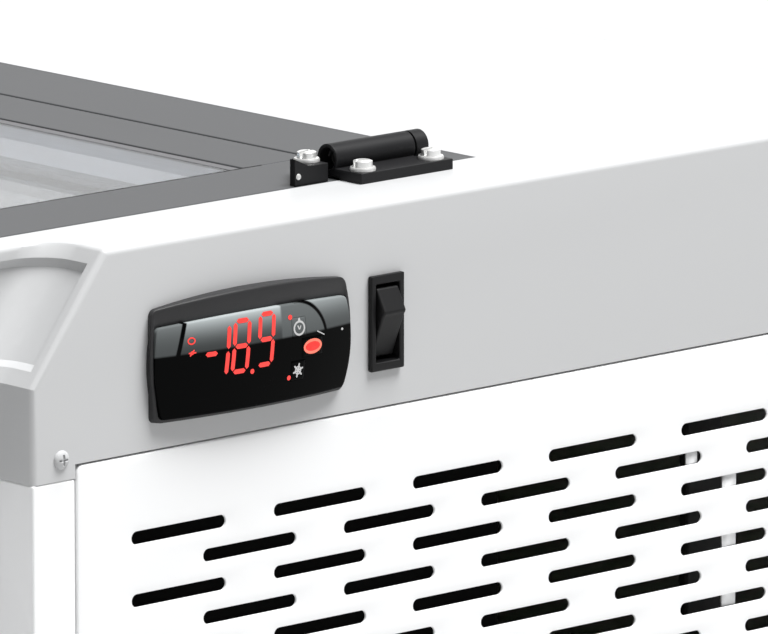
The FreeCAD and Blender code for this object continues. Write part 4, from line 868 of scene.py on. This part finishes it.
digit_wide, digit_high, stroke, lean, parting = 5.7, 15.8, 1.5, 0.14, 0.35
base, climb = 4.1, 0.075
segments = {
    "top": ((-1, 1), (1, 1)), "middle": ((-1, 0), (1, 0)), "bottom": ((-1, -1), (1, -1)),
    "upper_left": ((-1, 0), (-1, 1)), "lower_left": ((-1, -1), (-1, 0)),
    "upper_right": ((1, 0), (1, 1)), "lower_right": ((1, -1), (1, 0)),
}
shown = {
    -16.6: ("upper_right", "lower_right"),
    -8.4: tuple(segments),
    1.9: ("top", "middle", "bottom", "upper_left", "upper_right", "lower_right"),
}
bars = []
for centre, names in shown.items():
    for name in names:
        ends = []
        for side, up in segments[name]:
            v = up * digit_high / 2
            ends.append(np.array([centre + side * digit_wide / 2 + lean * v, base + climb * centre + v]))
        gap = (ends[1] - ends[0]) / np.linalg.norm(ends[1] - ends[0]) * parting
        bars.append(bar(ends[0] + gap, ends[1] - gap, stroke))
bars.append(bar((-22.6, 2.4), (-17.9, 2.4), stroke))
bars.append(hoop(-4.2, -5.2, 0.8, 0.8, 0.79))
red_light = lit("red_segment_light", (0.86, 0.032, 0.024), 1.0)
lit_sheet("display_digits", bars, red_light)

pilot = [hoop(-27.6, 7.4, 1.5, 1.2, 0.45), hoop(-27.6, 3.6, 0.6, 0.6, 0.59),
         hoop(12.6, 9.6, 0.9, 0.8, 0.79), hoop(11.6, -9.6, 0.8, 0.8, 0.79),
         bar((-29.0, 3.6), (-26.0, 3.6), 0.5), bar((-28.5, 2.6), (-26.7, 4.6), 0.5)]
lit_sheet("pilot_lights", pilot, red_light)
white_light = lit("white_symbol_light", (0.55, 0.55, 0.55), 0.6)
ticks = [bar((24.4, 3.6), (27.9, 1.9), 0.35), bar((36.0, 2.4), (37.2, 2.2), 0.8)]
lit_sheet("window_ticks", ticks, white_light)


# Three push keys in the window, each with its own lit symbol.
# Small caps of the same smoked acrylic with its painted reflection, level with the window round
# them; the symbols are printed behind their faces and move in with them.

def key_cap(u, v, wide, high):
    """A patch of the window's curve, a hair proud of it, with its edges rolled back into the opening."""
    u, v = flat_place(u, v)
    loop, room, proud, roll = np.linspace(-1, 1, 9), 0.12, 0.1, 0.25
    grid_u, grid_v = np.meshgrid(u + loop * (wide - room - roll), v + loop * (high - room - roll))
    face = window_points(grid_u, grid_v, proud)
    spread = edge_of(np.stack([grid_u, grid_v], axis=-1)) - (u, v)
    spread = (u, v) + spread * ((wide - room) / (wide - room - roll), (high - room) / (high - room - roll))
    side = window_points(*spread.T, proud)
    return [face, np.stack([edge_of(face), side + (0, 0.12, 0), side + (0, 3, 0)])]


for key, cap in caps.items():
    fitted(surface(key + "_cap", key_cap(*cap), facing=(0, -1, 0), sharp=50), smoked_acrylic_painted_reflection,
           "black_plastic", frame["nodes"][key]["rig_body"], key)
over = 0.17
deep_red = lit("deep_red_light", (0.9, 0.012, 0.006), 0.9)
halo = lit("red_ring_light", (0.95, 0.16, 0.10), 0.9)
lit_sheet("set_key_ring", [hoop(22.2, -0.9, 4.2, 2.4, 0.9, lift=over)], halo, "set_key")
lit_sheet("set_key_light", [hoop(22.2, -0.9, 3.2, 1.5, 1.49, lift=over)], deep_red, "set_key")
dial = [hoop(16.3, 5.7, 2.6, 2.4, 0.65, lift=over), bar((16.3, 7.6), (16.5, 9.0), 1.0, over),
        bar((16.3, 5.2), (15.6, 6.7), 0.45, over), bar((16.3, 5.2), (17.1, 6.5), 0.45, over)]
lit_sheet("up_key_symbol", dial, white_light, "up_key")
star_u, star_v, point = 15.5, -7.7, 2.4
star = [bar((star_u - point * cos(tilt), star_v - point * sin(tilt)),
            (star_u + point * cos(tilt), star_v + point * sin(tilt)), 0.6, over)
        for tilt in (0.3, 0.3 + pi / 3, 0.3 + 2 * pi / 3)]
star.append(hoop(star_u, star_v, 1.4, 1.4, 0.4, lift=over))
lit_sheet("down_key_symbol", star, white_light, "down_key")


# Rocker switch.
# A black frame pressed into the collar and a satin black rocker that tips on two pips inside it.

switch_black = coated("switch_black_plastic", (0.0065, 0.0065, 0.007), 0.5, tone=0.15, cloud=60.0,
                      grain=1500, relief=0.012, Specular_IOR_Level=0.25)
rounded_skin("switch_bezel", 0.9, switch_black, "black_plastic", segments=3)
rounded_skin("switch_rocker", 0.7, switch_black, "black_plastic", segments=3)


# Cold tank: liner, foam, the baffle beside the machine bay, the inner upright and the evaporator.
# The liner is pressed aluminium with a film of rime; copper tube lies against its outside, and
# foam fills the space to the walls. A hooked steel flange stands behind the slots.

liner_metal = rime_finish("liner_with_rime", (0.86, 0.89, 0.95), 0.35, 420)
rounded_skin("tank_liner", 1.5, liner_metal, "liner_metal", segments=3)
foam = coated("cream_foam", (0.62, 0.55, 0.36), 0.85, tone=0.25, cloud=35.0, grain=420, relief=0.25)
rounded_skin("insulation", 1.0, foam, "foam")
# The baffle's near-black is painted shade: it stands in for the dark behind the slots.
baffle_painted_shade = coated("baffle_black_painted_shade", (0.006, 0.006, 0.006), 0.7, tone=0.3, cloud=20.0,
                      grain=600, relief=0.02, Specular_IOR_Level=0.1)
rounded_skin("air_baffle", 0.4, baffle_painted_shade, "black_plastic")
# The inner upright's dark grey is painted shade: it stands in for the dark behind the slots.
inner_upright_painted_shade = coated("inner_upright_coat_painted_shade", (0.05, 0.05, 0.05), 0.6, tone=0.2, cloud=12.0, grain=500,
                   relief=0.02, Specular_IOR_Level=0.15)
rounded_skin("inner_upright", 0.5, inner_upright_painted_shade, "painted_steel")
behind = -299.9
hooked = [np.array([[[x0, behind, z0], [x1, behind, z0]], [[x0, behind, z1], [x1, behind, z1]]])
          for x0, x1, z0, z1 in ((270.9, 276.9, 690, 750), (254.2, 276.9, 750, 752.6),
                                 (254.2, 259.0, 752.6, 762))]
hook = surface("hooked_upright_flange", hooked, facing=(0, -1, 0))
sheet = hook.modifiers.new("sheet_thickness", "SOLIDIFY")
sheet.thickness = 0.8 * MM
sheet.offset = -1
fitted(hook, white_coat, "painted_steel", "cabinet")
copper = coated("drawn_copper_tube", (0.78, 0.33, 0.17), 0.30, tone=0.2, cloud=40.0, uneven=0.15,
                grain=800, Metallic=1.0)
rounded_skin("evaporator_coil", 0.6, copper, "copper_tube")


# Machine bay: compressor on its grommets, relay box, condenser, fan and pipework.
# The compressor is a welded steel pot with black enamel, sprayed over the weld; it stands on
# rubber grommets, and a fan behind the slots draws air through the finned condenser.

pot_enamel = coated("black_pot_enamel", (0.012, 0.012, 0.013), 0.28, tone=0.25, cloud=18.0,
                    uneven=0.12, grain=260, relief=0.03)
rounded_skin("compressor", 2.0, pot_enamel, "pot_enamel")
grommet_rubber = coated("grommet_rubber", (0.02, 0.02, 0.02), 0.7, tone=0.2, cloud=90.0, relief=0.03)
rounded_skin("compressor_grommets", 0.8, grommet_rubber, "seal_rubber")
rounded_skin("relay_box", 1.5, smoke_black, "black_plastic", segments=3)


def finned_finish(name, colour, pitch):
    """Aluminium fins: a band texture across X darkens the gap between one fin and the next with painted
    shade.
    """
    finish = coated(name, colour, 0.4, tone=0.15, cloud=40.0, grain=500, Metallic=0.8)
    nodes, link = finish.node_tree.nodes, finish.node_tree.links.new
    shader = nodes["Principled BSDF"]
    place, fin_gap_painted_shade, blend = (nodes.new("ShaderNodeTexCoord"), nodes.new("ShaderNodeTexWave"),
                          nodes.new("ShaderNodeMix"))
    fin_gap_painted_shade.inputs["Scale"].default_value = 1 / (pitch * MM) / 3.1416
    link(place.outputs["Object"], fin_gap_painted_shade.inputs["Vector"])
    blend.data_type = "RGBA"
    # The bands darken the gaps between fins: painted shade.
    blend.blend_type = "MULTIPLY"
    blend.inputs["Factor"].default_value = 0.85
    link(shader.inputs["Base Color"].links[0].from_socket, blend.inputs["A"])
    link(fin_gap_painted_shade.outputs["Fac"], blend.inputs["B"])
    link(blend.outputs["Result"], shader.inputs["Base Color"])
    return finish


rounded_skin("condenser_coil", 0.4, finned_finish("condenser_fins", (0.42, 0.43, 0.44), 2.4),
             "condenser_fins")
zinc_sheet = coated("zinc_sheet", (0.55, 0.56, 0.57), 0.38, tone=0.22, cloud=45.0, uneven=0.2,
                    grain=300, Metallic=1.0)
rounded_skin("fan_shroud", 1.0, zinc_sheet, "sheet_zinc")
motor_grey = coated("fan_motor_case", (0.09, 0.09, 0.095), 0.45, tone=0.2, cloud=60.0, grain=500,
                    relief=0.03)
rounded_skin("fan_motor", 1.2, motor_grey, "motor_case")
fan_black = coated("fan_blade_plastic", (0.02, 0.02, 0.021), 0.42, tone=0.15, cloud=50.0)
rounded_skin("fan_blades", 0.5, fan_black, "fan_plastic")
rounded_skin("filter_drier", 0.8, copper, "copper_tube")
rounded_skin("discharge_pipe", 0.5, copper, "copper_tube")


# Castors: top plates, swivel forks and wheels.
# Pressed and zinc-plated forks swivel on a pivot under each plate; the wheels are a grey rubber
# tyre moulded onto a plastic hub.

rounded_skin("castor_plates", 0.6, zinc_sheet, "sheet_zinc")


def wheel(low, high):
    """Wheel turned about X: pairs of distance from the middle plane and radius, carried round a circle."""
    middle, half = (low + high) / 2, (high - low) / 2
    radius, side = half[2], half[0]
    shoulder, rolled, axle = side * 0.93, 2.2, 4.3
    tread = [(shoulder * sin(turn), radius - rolled * (1 - cos(turn)))
             for turn in np.linspace(-pi / 2, pi / 2, 9)]
    left = [(-shoulder, radius * 0.72), (-side * 0.8, radius * 0.70), (-side * 0.45, radius * 0.64),
            (-side * 0.45, radius * 0.36), (-side, radius * 0.32), (-side, axle)]
    profile = np.array(left[::-1] + tread + [(-x, r) for x, r in left] + [(-side, axle)])
    turn = np.linspace(0, 2 * pi, 65)[None]
    return np.stack([middle[0] + profile[:, :1] + 0 * turn, middle[1] + profile[:, 1:] * np.cos(turn),
                     middle[2] + profile[:, 1:] * np.sin(turn)], axis=-1)


tyre_grey = coated("grey_tyre_rubber", (0.17, 0.17, 0.175), 0.6, tone=0.15, cloud=60.0, grain=500,
                   relief=0.05)
for corner in ("near_left", "near_right", "far_left", "far_right"):
    rounded_skin("castor_fork_" + corner, 0.8, zinc_sheet, "sheet_zinc")
    wheel_low, wheel_high = (np.array(point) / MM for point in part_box("castor_wheel_" + corner))
    fitted(surface("turned_wheel_" + corner, [wheel(wheel_low, wheel_high)]), tyre_grey, "tyre_grey",
           "wheel_" + corner, "castor_wheel_" + corner)


# Pale studio floor, soft light and the camera.
# A wide overhead light leans a little to the front, a large light panel stands far behind the
# freezer, and the camera looks down on the control corner through a long lens.

view = bpy.context.scene.view_settings
view.view_transform = "Standard"
view.look = "None"

sweep = np.linspace(-30000, 30000, 13)
floor = surface("studio_floor", [np.stack(np.broadcast_arrays(sweep[None], sweep[:, None], 0.0), axis=-1)],
                facing=(0, 0, 1))
floor.data.materials.append(coated("pale_floor", (0.50, 0.50, 0.50), 0.9, tone=0.01, cloud=0.6, grain=30,
                                   relief=0.05, Specular_IOR_Level=0.0))

world = bpy.data.worlds.new("studio_air")
bpy.context.scene.world = world
world.use_nodes = True
world.node_tree.nodes["Background"].inputs["Color"].default_value = (1, 1, 1, 1)
world.node_tree.nodes["Background"].inputs["Strength"].default_value = 0.22


def lamp(name, kind, place, turn, **settings):
    data = bpy.data.lights.new(name, kind)
    for setting, value in settings.items():
        setattr(data, setting, value)
    lamp_object = bpy.data.objects.new(name, data)
    lamp_object.location = place
    lamp_object.rotation_euler = [radians(angle) for angle in turn]
    bpy.context.scene.collection.objects.link(lamp_object)


lamp("overhead_light", "SUN", (0, -2, 5), (17, 12, 0), energy=6.2, angle=radians(38))
lamp("rear_panel_light", "AREA", (4.4, 5.0, 2.9), (-78, 0, -42.45), energy=75, shape="RECTANGLE",
     size=8.0, size_y=2.6)

eye = bpy.data.cameras.new("camera")
eye.sensor_fit = "HORIZONTAL"
eye.sensor_width = 36
eye.lens = 484.372
eye.clip_end = 200
camera = bpy.data.objects.new("camera", eye)
camera.location = (-2.05025, -2.67201, 1.47651)
camera.rotation_euler = (radians(78.5017), 0, radians(-42.4546))
bpy.context.scene.collection.objects.link(camera)
bpy.context.scene.camera = camera
